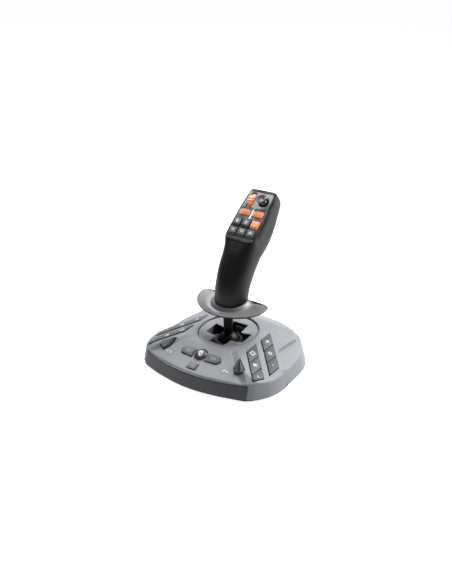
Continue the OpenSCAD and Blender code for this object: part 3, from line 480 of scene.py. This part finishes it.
def detail(x, y, z):
    """Small relief: sunk crease strip, engraved outline on the rear lobe."""
    u, s = strip_uv(x, y)
    dz = 0.0
    if y < -20:
        edge = sstep((3.9 - abs(s)) / 0.8) * sstep((u - 2) / 6)
        dz -= 0.55 * edge
    ax = abs(x)
    if 40 < ax < 78 and 18 < y < 58:
        d = min(seg_dist(ax, y, REAR_PANEL[i], REAR_PANEL[(i + 1) % 4]) for i in range(4))
        dz -= 0.4 * sstep((0.9 - d) / 0.6)
    return z + dz


def wall_radii(a):
    """Foot radius, wall top radius, band recess, lobe drop and step radius at plan angle a."""
    f = fold(a)
    lobe = f > LOBE_A
    rf = FOOT_BACK(f) if lobe else FOOT_FRONT(f)
    rw = rf - (5.5 if lobe else 4.0)
    front = 1.75 if f < -44 else 1.75 * sstep((-38 - f) / 6) if f < -38 else 0.0
    drop = min(4.2, 0.45 * (f - LOBE_A)) if lobe else 0.0
    rs = min(STEP_R(f), rw - 3.2) if lobe else min(rw - 6, 92.0)
    if f < -25:
        rs = min(rs, rf - 12)
    return rf, rw, front, drop, rs


def shell_profile(a, inset=0.0):
    """Points (r, z) of the shell section at plan angle a, from the foot up to the well."""
    c, s = math.cos(math.radians(a)), math.sin(math.radians(a))
    rf, rw, front, drop, rs = wall_radii(a)
    rf, rw, rs = rf - inset, rw - inset, rs - inset * 0.5

    def top(r):
        z = deck_z(c * r, s * r, 0.35)
        return z - drop * sstep((r - rs + 2.4) / 2.4)
    pts = []
    z1 = top(rw) - EDGE_DROP
    p1 = (rw - front + 0.25, z1)
    for i in range(9):
        t = i / 8
        pts.append((mix(rf - front, p1[0], t), mix(SHELL_Z0, p1[1], t)))
    q = rw - front - 2.6
    pc = (rw - front + 0.05, top(rw - front) + 0.05)
    pq = (q, top(q))
    for i in range(1, 7):
        t = i / 6
        pts.append(tuple((1 - t) ** 2 * p1[k] + 2 * t * (1 - t) * pc[k] + t * t * pq[k] for k in (0, 1)))
    stops = [(q, rs + 1.2, 10), (rs + 1.2, rs - 3.6, 10), (rs - 3.6, WELL_R + RING_W, 64)]
    for r0, r1, n in stops:
        for i in range(1, n + 1):
            r = mix(r0, r1, i / n)
            pts.append((r, top(r) if inset else detail(c * r, s * r, top(r))))
    return pts


def base_shell():
    """Closed shell: outer skin, lip and ledge of the well, inner skin."""
    n = 480
    angs = []
    for i in range(n):
        a = -90 + 360 * i / n
        f = fold(a)
        angs.append(a + (-0.1 if abs(f + 12.75) < 0.01 and math.cos(math.radians(a)) > 0 else 0))
    cols = []
    for a in angs:
        c, s = math.cos(math.radians(a)), math.sin(math.radians(a))
        outer = shell_profile(a)
        y0 = s * WELL_R
        lip = [(WELL_R + 1.6, rim(s * (WELL_R + 1.6))), (WELL_R + 0.5, rim(y0) - 0.1),
               (WELL_R + 0.05, rim(y0) - 0.6), (WELL_R, rim(y0) - 1.6), (WELL_R, rim(y0) - 3.9),
               (LEDGE_R, rim(s * LEDGE_R) - 4.1), (LEDGE_R, rim(s * LEDGE_R) - 6.0),
               (42.8, rim(s * 42.8) - 6.2)]
        inner = shell_profile(a, WALL)
        back = [(r, z - WALL) if z > 6 else (r, z) for r, z in inner[::-1] if r > 44.5]
        while len(back) < 40:
            back.append(back[-1])
        step = len(back) / 22.0
        back = [back[min(len(back) - 1, int(k * step))] for k in range(22)] + [(inner[0][0], SHELL_Z0)]
        cols.append([(c * r, s * r, z) for r, z in outer + lip + back])
    rows = len(cols[0])
    verts = [cols[i][j] for j in range(rows) for i in range(n)]
    return new_piece("deck_shell", verts, grid_faces(rows, n, wrap_rows=True), M_LIGHT)


TILT = math.atan(FRONT_SLOPE)
TILT_COS, TILT_SIN = math.cos(TILT), math.sin(TILT)


def deck_frame(x0, y0, z0, side=1):
    def place(u, v, w):
        return (side * (x0 + u), y0 + v * TILT_COS - w * TILT_SIN, z0 + v * TILT_SIN + w * TILT_COS)
    return place


WING_UP = Vector((WING_SLOPE, -WING_LEAN, 1)).normalized()
WING_RIGHT = Vector((1, 0, -WING_SLOPE)).normalized()
WING_BACK = WING_UP.cross(WING_RIGHT)


def wing_frame(side):
    def place(u, v, w):
        p = Vector((WING_X, WING_Y, WING_Z)) + WING_RIGHT * u + WING_BACK * v + WING_UP * w
        return (side * p.x, p.y, p.z)
    return place


FACE_Y, FACE_Z = 25.5, 158.6              # lower end of the panel face
FACE_TILT = math.radians(38.8)
FACE_COS, FACE_SIN = math.cos(FACE_TILT), math.sin(FACE_TILT)


def face_p(x, s, h):
    """Point x across, s up along and h above the panel face."""
    return (x, FACE_Y + s * FACE_COS - h * FACE_SIN, FACE_Z + s * FACE_SIN + h * FACE_COS)


PENTA = [(10.2, -7), (27.4, -5.2), (30.4, -0.2), (27.4, 4), (21.4, 5.6), (8.8, 5.2), (11.6, 0)]
PADDLE = [(50.5, 12.2), (50.5, -1), (56, -8.5), (64.5, -4.6), (64.5, 0.4)]
KEYS_IN = [(3.2, 0), (37.6, -34.4), (40, -35), (46, -22.2), (3.2, 20.6)]
KEYS_OUT = [(3.2, 32.5), (47.6, -11.9), (47.6, 8.7), (3.2, 53.1)]
ROUND_Y, RECT_Y, PADDLE_Y = -59.5, -77.4, -57.5


def circle(r, n=64):
    return [(r * math.cos(2 * math.pi * i / n), r * math.sin(2 * math.pi * i / n)) for i in range(n)]


def build_base():
    ob = base_shell()
    cutters = []
    for side in (-1, 1):
        f = deck_frame(0, ROUND_Y, deck_in(0, ROUND_Y), side)
        cutters.append(prism("c", offset_poly(PENTA, 0.9), -16, 8, f))
        f = deck_frame(0, PADDLE_Y, deck_in(57.4, PADDLE_Y), side)
        cutters.append(prism("c", offset_poly(PADDLE, 1.2), -18, 12, f))
        f = wing_frame(side)
        cutters.append(prism("c", offset_poly(KEYS_IN, 0.55), -9, 7, f))
        cutters.append(prism("c", offset_poly(KEYS_OUT, 0.55), -9, 7, f))
    rect = [(-7.1, -5.1), (7.1, -5.1), (7.1, 5.1), (-7.1, 5.1)]
    cutters.append(prism("c", rect, -8, 8, deck_frame(0, RECT_Y, deck_in(0, RECT_Y))))
    cut(ob, join("cutters", cutters))
    ring = prism("c", circle(9.1), -16, 8, deck_frame(0, ROUND_Y, deck_in(0, ROUND_Y)))
    cut(ob, ring)
    outlet = [(x, OUTLET_Z + z) for x, z in circle(OUTLET_R, 40)]
    cut(ob, prism("c", outlet, 80, 100, lambda u, v, w: (u, w, v)))
    smooth(ob, 42.0)
    # Painted shade: faces of the crease strips get the darker strip material, standing in for the shade
    # on these facets.
    ob.data.materials.append(M_STRIP_SHADE)
    strip_shade_slot = len(ob.data.materials) - 1
    for p in ob.data.polygons:
        c = p.center / MM
        u, s = strip_uv(c.x, c.y)
        if abs(s) < 3.3 and u > 8 and p.normal.z > 0.3:
            p.material_index = strip_shade_slot
    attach(ob, "base")
    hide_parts("base_upper")


def build_fascia():
    """Front band: soft top and bottom edge, follows the front of the shell."""
    n = 200
    rows = []
    for z, out in ((2.6, 1.55), (2.6, 0.5), (2.8, 0.12), (3.4, 0.0), (8.0, 0.0), (13.0, 0.0),
                   (18.0, 0.0), (19.6, 0.02), (20.05, 0.2), (20.35, 0.6), (20.5, 1.6)):
        t = (z - 2.6) / (BAND_Z - 4.0)
        row = []
        for i in range(n + 1):
            x = -BAND_HALF + 2 * BAND_HALF * i / n
            low, top = -93 + 0.00237 * x * x, arc_y(x)
            row.append((x, mix(low, top, t) + out, z))
        rows.append(row)
    verts = [p for r in rows for p in r]
    faces = grid_faces(len(rows), n + 1, wrap_rows=True, wrap_cols=False)
    faces.append(tuple(j * (n + 1) for j in range(len(rows))))
    faces.append(tuple(j * (n + 1) + n for j in range(len(rows) - 1, -1, -1)))
    ob = new_piece("front_band", verts, faces, M_BAND)
    smooth(ob, 40.0)
    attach(ob, "base")
    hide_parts("front_fascia")


def catmull(pts, per):
    """Smooth curve through 2-D points, per samples in each span."""
    out = []
    for i in range(len(pts) - 1):
        p0 = pts[max(i - 1, 0)]
        p1, p2 = pts[i], pts[i + 1]
        p3 = pts[min(i + 2, len(pts) - 1)]
        for k in range(per):
            t = k / per
            out.append(tuple(0.5 * (2 * p1[c] + (p2[c] - p0[c]) * t
                                    + (2 * p0[c] - 5 * p1[c] + 4 * p2[c] - p3[c]) * t * t
                                    + (3 * p1[c] - p0[c] - 3 * p2[c] + p3[c]) * t ** 3)
                             for c in range(2)))
    out.append(tuple(pts[-1]))
    return out


REST_Z, REST_SLOPE, REST_Y = 79.2, 0.13, 12


def rest_z(y):
    return REST_Z + REST_SLOPE * y


def build_rest():
    """Hand rest: dish, and a black sleeve below it."""
    n = 360

    def ray(a, t, dz):
        c, s = math.cos(a), math.sin(a)
        if s < 0:
            e = (51.8 * c, REST_Y + 38.5 * s)
        else:
            e = (51.8 * math.copysign(abs(c) ** 0.4, c), REST_Y + 8.7 * s ** 0.4)
        inn = (21.6 * c, min(19.4, 7.5 + 21.1 * s))
        x, y = mix(inn[0], e[0], t), mix(inn[1], e[1], t)
        return (x, y, rest_z(y) + dz)
    under = [(0.0, -6.6), (0.3, -5.2), (0.55, -3.9), (0.9, -3.2)]
    rim_pts = [(0.965, -3.05), (0.992, -2.6), (1.0, -1.7), (0.998, -0.8), (0.985, -0.25), (0.96, -0.3)]
    bowl = [(0.9, -0.6), (0.75, -1.2), (0.55, -1.95), (0.36, -2.2), (0.24, -1.7), (0.15, -0.4),
            (0.09, 1.1), (0.05, 1.9), (0.02, 2.3), (0.0, 2.4)]
    prof = catmull(under + rim_pts + bowl, 5)
    rows = [[ray(2 * math.pi * i / n, t, dz) for i in range(n)] for t, dz in prof]
    bore = [ray(2 * math.pi * i / n, 0, -3.0) for i in range(n)]
    verts = [p for r in rows for p in r] + bore
    ob = new_piece("hand_rest_dish", verts, grid_faces(len(rows) + 1, n, wrap_rows=True), M_REST)
    smooth(ob, 60.0)
    # Painted shade: the lower rim and underside of the dish are painted black, as shade under the rim.
    ob.data.materials.append(M_BLACK)
    for p in ob.data.polygons:
        c = p.center / MM
        if c.z < rest_z(c.y) - 1.45 and p.normal.z < 0.2:
            p.material_index = 1
    sec = [(22.4, 78.4), (22.4, 74.4), (22.1, 73.8), (21.4, 73.6), (10.0, 73.6), (9.0, 74.0),
           (9.0, 76.2), (20.2, 76.2), (20.9, 77.0), (20.9, 78.4)]
    verts = [(r * math.cos(a), 7.5 + r * 0.974 * math.sin(a), z) for r, z in sec
             for a in (2 * math.pi * i / 96 for i in range(96))]
    sl = new_piece("hand_rest_sleeve", verts, grid_faces(len(sec), 96, wrap_rows=True), M_BLACK)
    smooth(sl, 40.0)
    for o in (ob, sl):
        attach(o, "grip")
    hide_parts("hand_rest")


GRIP_ST = [
    ((-13, 83.6), (28.8, 83.6), 21.4, 2.2, 2.2), ((-11.4, 97), (33, 96), 21.8, 2.2, 2.2),
    ((-6.4, 112), (36.8, 103.4), 22.2, 2.3, 2.3), ((2.2, 127.6), (41, 111), 22.6, 2.6, 2.4),
    ((12, 143), (46, 118), 22.7, 2.7, 2.6), ((20.6, 153.1), (50, 123.6), 22.9, 3.7, 2.8)]
for fs, fh, bs, bh, w, e in ((-1.6, -0.15, -4.4, -40.4, 23.1, 5.0), (4, 2.4, 1, -41.7, 23.3, 7.6),
                             (14, 3, 12, -43.4, 23.3, 9),
                             (28, 3, 28, -43.6, 23, 9), (44, 3, 44, -40, 22.4, 9),
                             (60, 3, 60, -35, 21.2, 9), (71, 2.6, 71, -31, 20.2, 9),
                             (76.4, 1.4, 76.4, -28, 19, 7), (78.6, -3, 78.6, -24, 16.4, 4),
                             (79.4, -6, 79.4, -21, 12.5, 3)):
    GRIP_ST.append((face_p(0, fs, fh)[1:], face_p(0, bs, bh)[1:], w, e, 3))


def face_sh(p):
    """The s and h of a point, as in face_p."""
    y, z = p[1] - FACE_Y, p[2] - FACE_Z
    return y * FACE_COS + z * FACE_SIN, -y * FACE_SIN + z * FACE_COS


def groove_line(s):
    return -3.9 + 2.6 * sstep((s - 10) / 66)


def grip_relief(p):
    """Side grooves of the grip: one along the face edge, one shallow ridge beside it."""
    s, h = face_sh(p)
    ax = abs(p[0])
    if ax < 13:
        return p
    fade = sstep((s - 4) / 14) * sstep((76.5 - s) / 3)
    line = groove_line(s)
    d = 1.3 * math.exp(-((h - line) / 0.8) ** 2) * fade
    d += 0.45 * math.exp(-((h - line + 3.6) / 0.8) ** 2) * fade
    return (p[0] - math.copysign(d, p[0]), p[1], p[2])


def grip_rings(off, rows, m, half):
    """Rings of the grip hull; half 1 or -1 gives one side, closed along the middle."""
    comp = []
    for k in range(7):
        vals = [(*s[0], *s[1], *s[2:])[k] for s in GRIP_ST]
        comp.append(pchip([(i, v) for i, v in enumerate(vals)]))
    out = []
    last = len(GRIP_ST) - 1
    for j in range(rows + 1):
        t = (last if off == 0 else last - 2.0) * j / rows
        fy, fz, by, bz, w, ef, eb = (c(t) for c in comp)
        cy, cz, dy, dz = (fy + by) / 2, (fz + bz) / 2, (by - fy) / 2, (bz - fz) / 2
        k = 1 - off / math.hypot(dy, dz)
        fine = []
        for i in range(241):
            a = math.radians(-90 + 180 * (0.5 - 0.5 * math.cos(math.pi * i / 240)))
            co, si = max(0.0, math.cos(a)), math.sin(a)
            e = ef if si < 0 else eb
            x = (w - off) * co ** (2 / e)
            q = math.copysign(abs(si) ** (2 / e), si) * k
            fine.append((x, cy + dy * q, cz + dz * q))
        fine[0] = (0.0, cy - dy * k, cz - dz * k)
        fine[-1] = (0.0, cy + dy * k, cz + dz * k)
        cum = [0.0]
        for i in range(240):
            cum.append(cum[-1] + math.dist(fine[i], fine[i + 1]))
        ring, i = [], 0
        for q in range(m):
            want = cum[-1] * q / (m - 1)
            while i < 239 and cum[i + 1] < want:
                i += 1
            u = (want - cum[i]) / max(1e-9, cum[i + 1] - cum[i])
            p = tuple(mix(fine[i][c], fine[i + 1][c], clamp(u, 0, 1)) for c in range(3))
            ring.append(p if off else grip_relief(p))
        if half:
            out.append([(half * max(0.2, p[0]), p[1], p[2]) for p in ring])
        else:
            out.append(ring + [(-p[0], p[1], p[2]) for p in ring[-2:0:-1]])
    return out


def loft_piece(name, rings, mat):
    return new_piece(name, [p for r in rings for p in r],
                     grid_faces(len(rings), len(rings[0]), caps=True), mat)


def face_box(x0, x1, s0, s1, h0, h1):
    pts = [(x0, s0), (x1, s0), (x1, s1), (x0, s1)]
    return prism("c", pts, h0, h1, face_p)


PANEL = [(-20.6, 1), (20.6, 1), (20.4, 30), (18, 73), (-18, 73), (-20.4, 30)]


def build_grip():
    for side, name in ((-1, "left"), (1, "right")):
        ob = loft_piece("grip_shell_" + name, grip_rings(0, 190, 130, side), M_GRIP)
        cut(ob, face_box(-40, 40, -14, 96, 0.02, 14))
        inner = loft_piece("c", grip_rings(2.6, 40, 40, 0), M_GRIP)
        for v in inner.data.vertices:
            if v.co.z < 0.0842:
                v.co.z -= 0.001
        cut(ob, inner)
        cut(ob, prism("c", offset_poly(PANEL, 0.12), -16, 10, face_p))
        cut(ob, face_box(-11.7, 11.7, 28.8, 60.9, -60, -28.4))
        round_edges(ob, 0.35, 2, 40.0)
        smooth(ob, 36.0)
        # Painted shade: faces along the side groove get the black groove material, as shade in the
        # groove.
        ob.data.materials.append(M_GROOVE_SHADE)
        slot = len(ob.data.materials) - 1
        for p in ob.data.polygons:
            c = p.center / MM
            s, h = face_sh(c)
            if abs(c.x) > 13 and 9 < s < 76 and abs(h - groove_line(s)) < 0.75:
                p.material_index = slot
        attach(ob, "grip")
        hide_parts("grip_" + name)
    tr = loft_piece("trigger_lever", grip_rings(0, 120, 90, 0), M_GRIP)
    cut(tr, face_box(-10.9, 10.9, 31.3, 59.2, -60, -29), "INTERSECT")
    cut(tr, face_box(-8.6, 8.6, 29, 49, -38.4, -26.4))
    round_edges(tr, 0.5, 3, 40.0)
    smooth(tr, 36.0)
    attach(tr, "trigger")
    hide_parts("trigger")


# ------------------------------------------------------------------ printed marks
def strokes(name, lines, width, place, body, mat, lift=0.05, thick=0.06):
    """Thin raised ink lines; each line is a list of local points."""
    verts, faces = [], []
    for line in lines:
        for (x0, y0), (x1, y1) in zip(line, line[1:]):
            d = Vector((x1 - x0, y1 - y0))
            d.normalize()
            nx, ny = -d.y * width / 2, d.x * width / 2
            ex, ey = d.x * width * 0.35, d.y * width * 0.35
            b = len(verts)
            quad = ((x0 + nx - ex, y0 + ny - ey), (x0 - nx - ex, y0 - ny - ey),
                    (x1 - nx + ex, y1 - ny + ey), (x1 + nx + ex, y1 + ny + ey))
            for w in (lift - thick, lift):
                verts += [place(px, py, w) for px, py in quad]
            faces += [(b, b + 1, b + 2, b + 3), (b + 7, b + 6, b + 5, b + 4)]
            for k in range(4):
                faces.append((b + k, b + (k + 1) % 4, b + 4 + (k + 1) % 4, b + 4 + k))
    ob = new_piece(name, verts, faces, mat)
    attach(ob, body)
    return ob


def ring_line(r, n):
    """Closed line of n equal strokes around a circle."""
    return [(r * math.cos(2 * math.pi * i / n), r * math.sin(2 * math.pi * i / n)) for i in range(n + 1)]


def wing_mid(k):
    """Middle of wing key k; 1 to 3 are the inner column."""
    u = 3.2 + ((k - 1) % 3 + 0.5) * KEY_PITCH
    v = (13.5 if k <= 3 else 46.0) - u
    return u, v


WING_KEY_TOP, PENTA_TOP, ROUND_TOP, THUMB_TOP = 1.3, 1.2, 3.1, 2.8   # key tops over their plane
ROCKER_X, SCROLL_X, SCROLL_S = 10.2, -10.6, 60.4
KEY_PITCH = 14.8
WING_MARKS = {
    1: [[(-2.6, -2.4), (2.2, -2.8), (2.8, 2.2), (-2.2, 2.8), (-2.6, -2.4)]],
    2: [[(-3, 0), (3, 0)], [(0, -3), (0, 3)], [(-3, 0), (-1.6, 1.4)], [(-3, 0), (-1.6, -1.4)]],
    3: [[(-2.4, 1.6), (0.4, 0.8)]],
    4: [[(0, -3), (0, 2.6)], [(-2, 0.6), (0, 2.6), (2, 0.6)]],
    5: [ring_line(2.3, 6)],
    6: [[(-0.6, 0.6), (0.6, -0.2)]],
}
THUMB_AT = [(-13.6, 24.4), (0, 24.4), (-13.6, 10.6), (0, 10.6), (13.6, 10.6)]
THUMB_MARKS = [
    [ring_line(1.9, 8), ring_line(0.8, 8)],
    [[(-1.9, -1.2), (0, 2.2), (1.9, -1.2), (-1.9, -1.2)]],
    [[(-1.6, -0.8), (1.6, 1.2)], [(0.4, 1.7), (1.6, 1.2), (1.4, -0.2)]],
    [[(-2.4, 1.0), (0, -1.0), (2.4, 1.0)], [(-1.4, 1.8), (-0.2, 1.8)]],
    [[(-2.6, 0), (2.6, 0)], [(0, -1.8), (0, 2.4)], [(1.6, 0.9), (2.6, 0), (1.6, -0.9)],
     [(-1.6, 0.9), (-2.6, 0), (-1.6, -0.9)]],
]


def build_controls():
    for side, tag in ((-1, "l"), (1, "r")):
        f = wing_frame(side)
        for k in range(1, 7):
            node = "wing_key_%s%d" % (tag, k)
            refine(node, node, 0.45, M_KEY)
            u, v = wing_mid(k)
            lines = [[(u + px, v + py) for px, py in ln] for ln in WING_MARKS[k]]
            strokes("mark_" + node, lines, 0.62, lambda a, b, w: f(a, b, w + WING_KEY_TOP), node, M_ICON)
        seams = [[(u + 5.2, 23.8 - u + 1.6), (u + 0.6, 35.7 - u - 1.9)] for u in (18.0, 32.8)]
        strokes("seam_marks_" + tag, seams, 0.4, lambda a, b, w: f(a, b, w), "base", M_DIM, 0.06)
        node = "deck_penta_" + tag
        refine(node, node, 0.4, M_KEY)
        g = deck_frame(0, ROUND_Y, deck_in(0, ROUND_Y), side)
        lines = [[(16, -1.5), (21, -1.5), (21, 1.4), (16, 1.4), (16, -1.5)], [(22.4, -1.2), (22.4, 1.4)]]
        strokes("mark_" + node, lines, 0.5, lambda a, b, w: g(a, b, w + PENTA_TOP), node, M_DIM)
        refine("paddle_" + tag, "paddle_" + tag, 0.5, M_KEY)
        h = deck_frame(0, -66, deck_in(0, -66), side)
        lines = [[(40.5, -4.6), (43.5, -4.2)], [(41, -2.6), (44, -2.2)], [(46, -4.6), (46.6, -2.6)],
                 [(47.2, -4.2), (48.2, -3.4), (47.4, -2.6)]]
        strokes("paddle_marks_" + tag, lines, 0.45, h, "base", M_ICON)
    refine("deck_rect", "deck_rect", 0.45, M_KEY)
    refine("deck_round", "deck_round", 0.15, M_GLOSS)
    g = deck_frame(0, ROUND_Y, deck_in(0, ROUND_Y))
    lines = [ring_line(2.2, 10), [(0, 2.2), (0, 0.4)]]
    strokes("mark_deck_round", lines, 0.9, lambda a, b, w: g(a, b, w + ROUND_TOP), "deck_round", M_ICON)
    sec = [(9.05, -0.6), (9.1, 0.35), (9.4, 0.6), (9.9, 0.6), (10.3, 0.35), (10.4, -0.6)]
    verts = [g(r * math.cos(a), r * math.sin(a), z) for r, z in sec
             for a in (2 * math.pi * i / 96 for i in range(96))]
    bez = new_piece("round_bezel", verts, grid_faces(len(sec), 96, wrap_rows=True), M_LIGHT)
    smooth(bez, 50.0)
    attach(bez, "base")
    for i, ((x, s), lines) in enumerate(zip(THUMB_AT, THUMB_MARKS)):
        node = "thumb_key_%d" % (i + 1)
        refine(node, node, 0.5, M_TKEY)
        lines = [[(x + px, s + 1.2 + py) for px, py in ln] for ln in lines]
        strokes("mark_" + node, lines, 0.55, lambda a, b, w: face_p(a, b, w + THUMB_TOP), node, M_ICON)
    refine("thumb_square", "thumb_square", 0.6, M_ORANGE)
    refine("rocker_scroll", "rocker_scroll", 0.45, M_ORANGE)
    for node, x in (("rocker_left", -ROCKER_X), ("rocker_right", ROCKER_X)):
        ob = refine(node, node, 0.45, M_ORANGE)
        notches = [face_box(x + q - 0.5, x + q + 0.5, 34, 47, 1.5, 6) for q in (-2.5, 2.5)]
        cut(ob, join("c", notches))
        round_edges(ob, 0.25, 2, 50.0)
        smooth(ob, 38.0)
    refine("ministick_cap", "ministick_cap", 0.2, M_MINI)
    pan = refine("grip_panel", "grip", 0.3, M_PANEL_SHADED, 2)
    slots = [prism("c", [(SCROLL_X + 5.1 * cx, SCROLL_S + 12.1 * sy) for cx, sy in
                         ((-1, -0.75), (-0.55, -1), (0.55, -1), (1, -0.75), (1, 0.75), (0.55, 1),
                          (-0.55, 1), (-1, 0.75))], -1.9, 6, face_p)]
    for x in (-ROCKER_X, ROCKER_X):
        slots.append(face_box(x - 8.3, x + 8.3, 35.6, 49.4, -1.5, 6))
    cut(pan, join("c", slots))
    smooth(pan, 38.0)
    for x, tag in ((-ROCKER_X, "l"), (ROCKER_X, "r")):
        ribs = [[(x - 7.4, s), (x + 7.4, s)] for s in (45.6, 47.2, 48.6)]
        strokes("pocket_ribs_" + tag, ribs, 0.5, face_p, "grip", M_PANEL_SHADED, -0.6, 1.0)
    strokes("panel_line", [[(0, 33.4), (0, 45.0)]], 1.7, face_p, "grip", M_LINE, 0.12, 0.3)
    refine("well_plate", "base", 0.4, M_LIGHT, 2)
    refine("twist_collar", "grip", 0.5, M_BLACK, 2)
    refine("stick_boot", "stick", 0.2, M_BLACK, 2)


build_base()
build_fascia()
build_rest()
build_grip()
build_controls()


# ------------------------------------------------------------------ stage
def make_stage():
    bpy.context.scene.view_settings.view_transform = "Standard"
    floor_me = bpy.data.meshes.new("studio_floor")
    s = 30.0
    floor_me.from_pydata([(-s, -s, 0), (s, -s, 0), (s, s, 0), (-s, s, 0)], [], [(0, 1, 2, 3)])
    floor = bpy.data.objects.new("studio_floor", floor_me)
    bpy.context.scene.collection.objects.link(floor)
    mat = node_mat("floor_white", (0.4, 0.4, 0.4), 0.9, 0.0, 200, 0.005)
    shader = next(n for n in mat.node_tree.nodes if n.type == "BSDF_PRINCIPLED")
    shader.inputs["Emission Color"].default_value = (1.0, 1.0, 1.0, 1.0)
    shader.inputs["Emission Strength"].default_value = 0.88
    floor_me.materials.append(mat)
    w = bpy.data.worlds.new("studio")
    bpy.context.scene.world = w
    w.use_nodes = True
    nt = w.node_tree
    bg = nt.nodes["Background"]
    bg.inputs["Color"].default_value = (1.0, 1.0, 1.0, 1.0)
    bg.inputs["Strength"].default_value = 1.1
    dim = nt.nodes.new("ShaderNodeBackground")
    dim.inputs["Color"].default_value = (0.93, 0.96, 1.0, 1.0)
    dim.inputs["Strength"].default_value = 0.24
    path = nt.nodes.new("ShaderNodeLightPath")
    pick = nt.nodes.new("ShaderNodeMixShader")
    nt.links.new(path.outputs["Is Camera Ray"], pick.inputs["Fac"])
    nt.links.new(dim.outputs["Background"], pick.inputs[1])
    nt.links.new(bg.outputs["Background"], pick.inputs[2])
    nt.links.new(pick.outputs["Shader"], nt.nodes["World Output"].inputs["Surface"])

    def area(name, loc, size, power, aim=(0.0, 0.0, 0.08)):
        ld = bpy.data.lights.new(name, "AREA")
        ld.shape = "RECTANGLE"
        ld.size, ld.size_y = size
        ld.energy = power
        ob = bpy.data.objects.new(name, ld)
        bpy.context.scene.collection.objects.link(ob)
        ob.location = loc
        d = Vector(aim) - Vector(loc)
        ob.rotation_euler = d.to_track_quat("-Z", "Y").to_euler()
    area("key_right", (0.9, 1.2, 1.2), (1.0, 1.0), 66.0)
    area("top_soft", (0.1, 1.0, 1.9), (1.6, 1.6), 42.0)
    area("rim_left", (-1.1, 0.7, 1.3), (0.7, 0.7), 26.0)
    area("panel_glow", (-0.85, -0.2, 1.75), (0.5, 0.5), 13.0, (0.0, 0.05, 0.18))


make_stage()
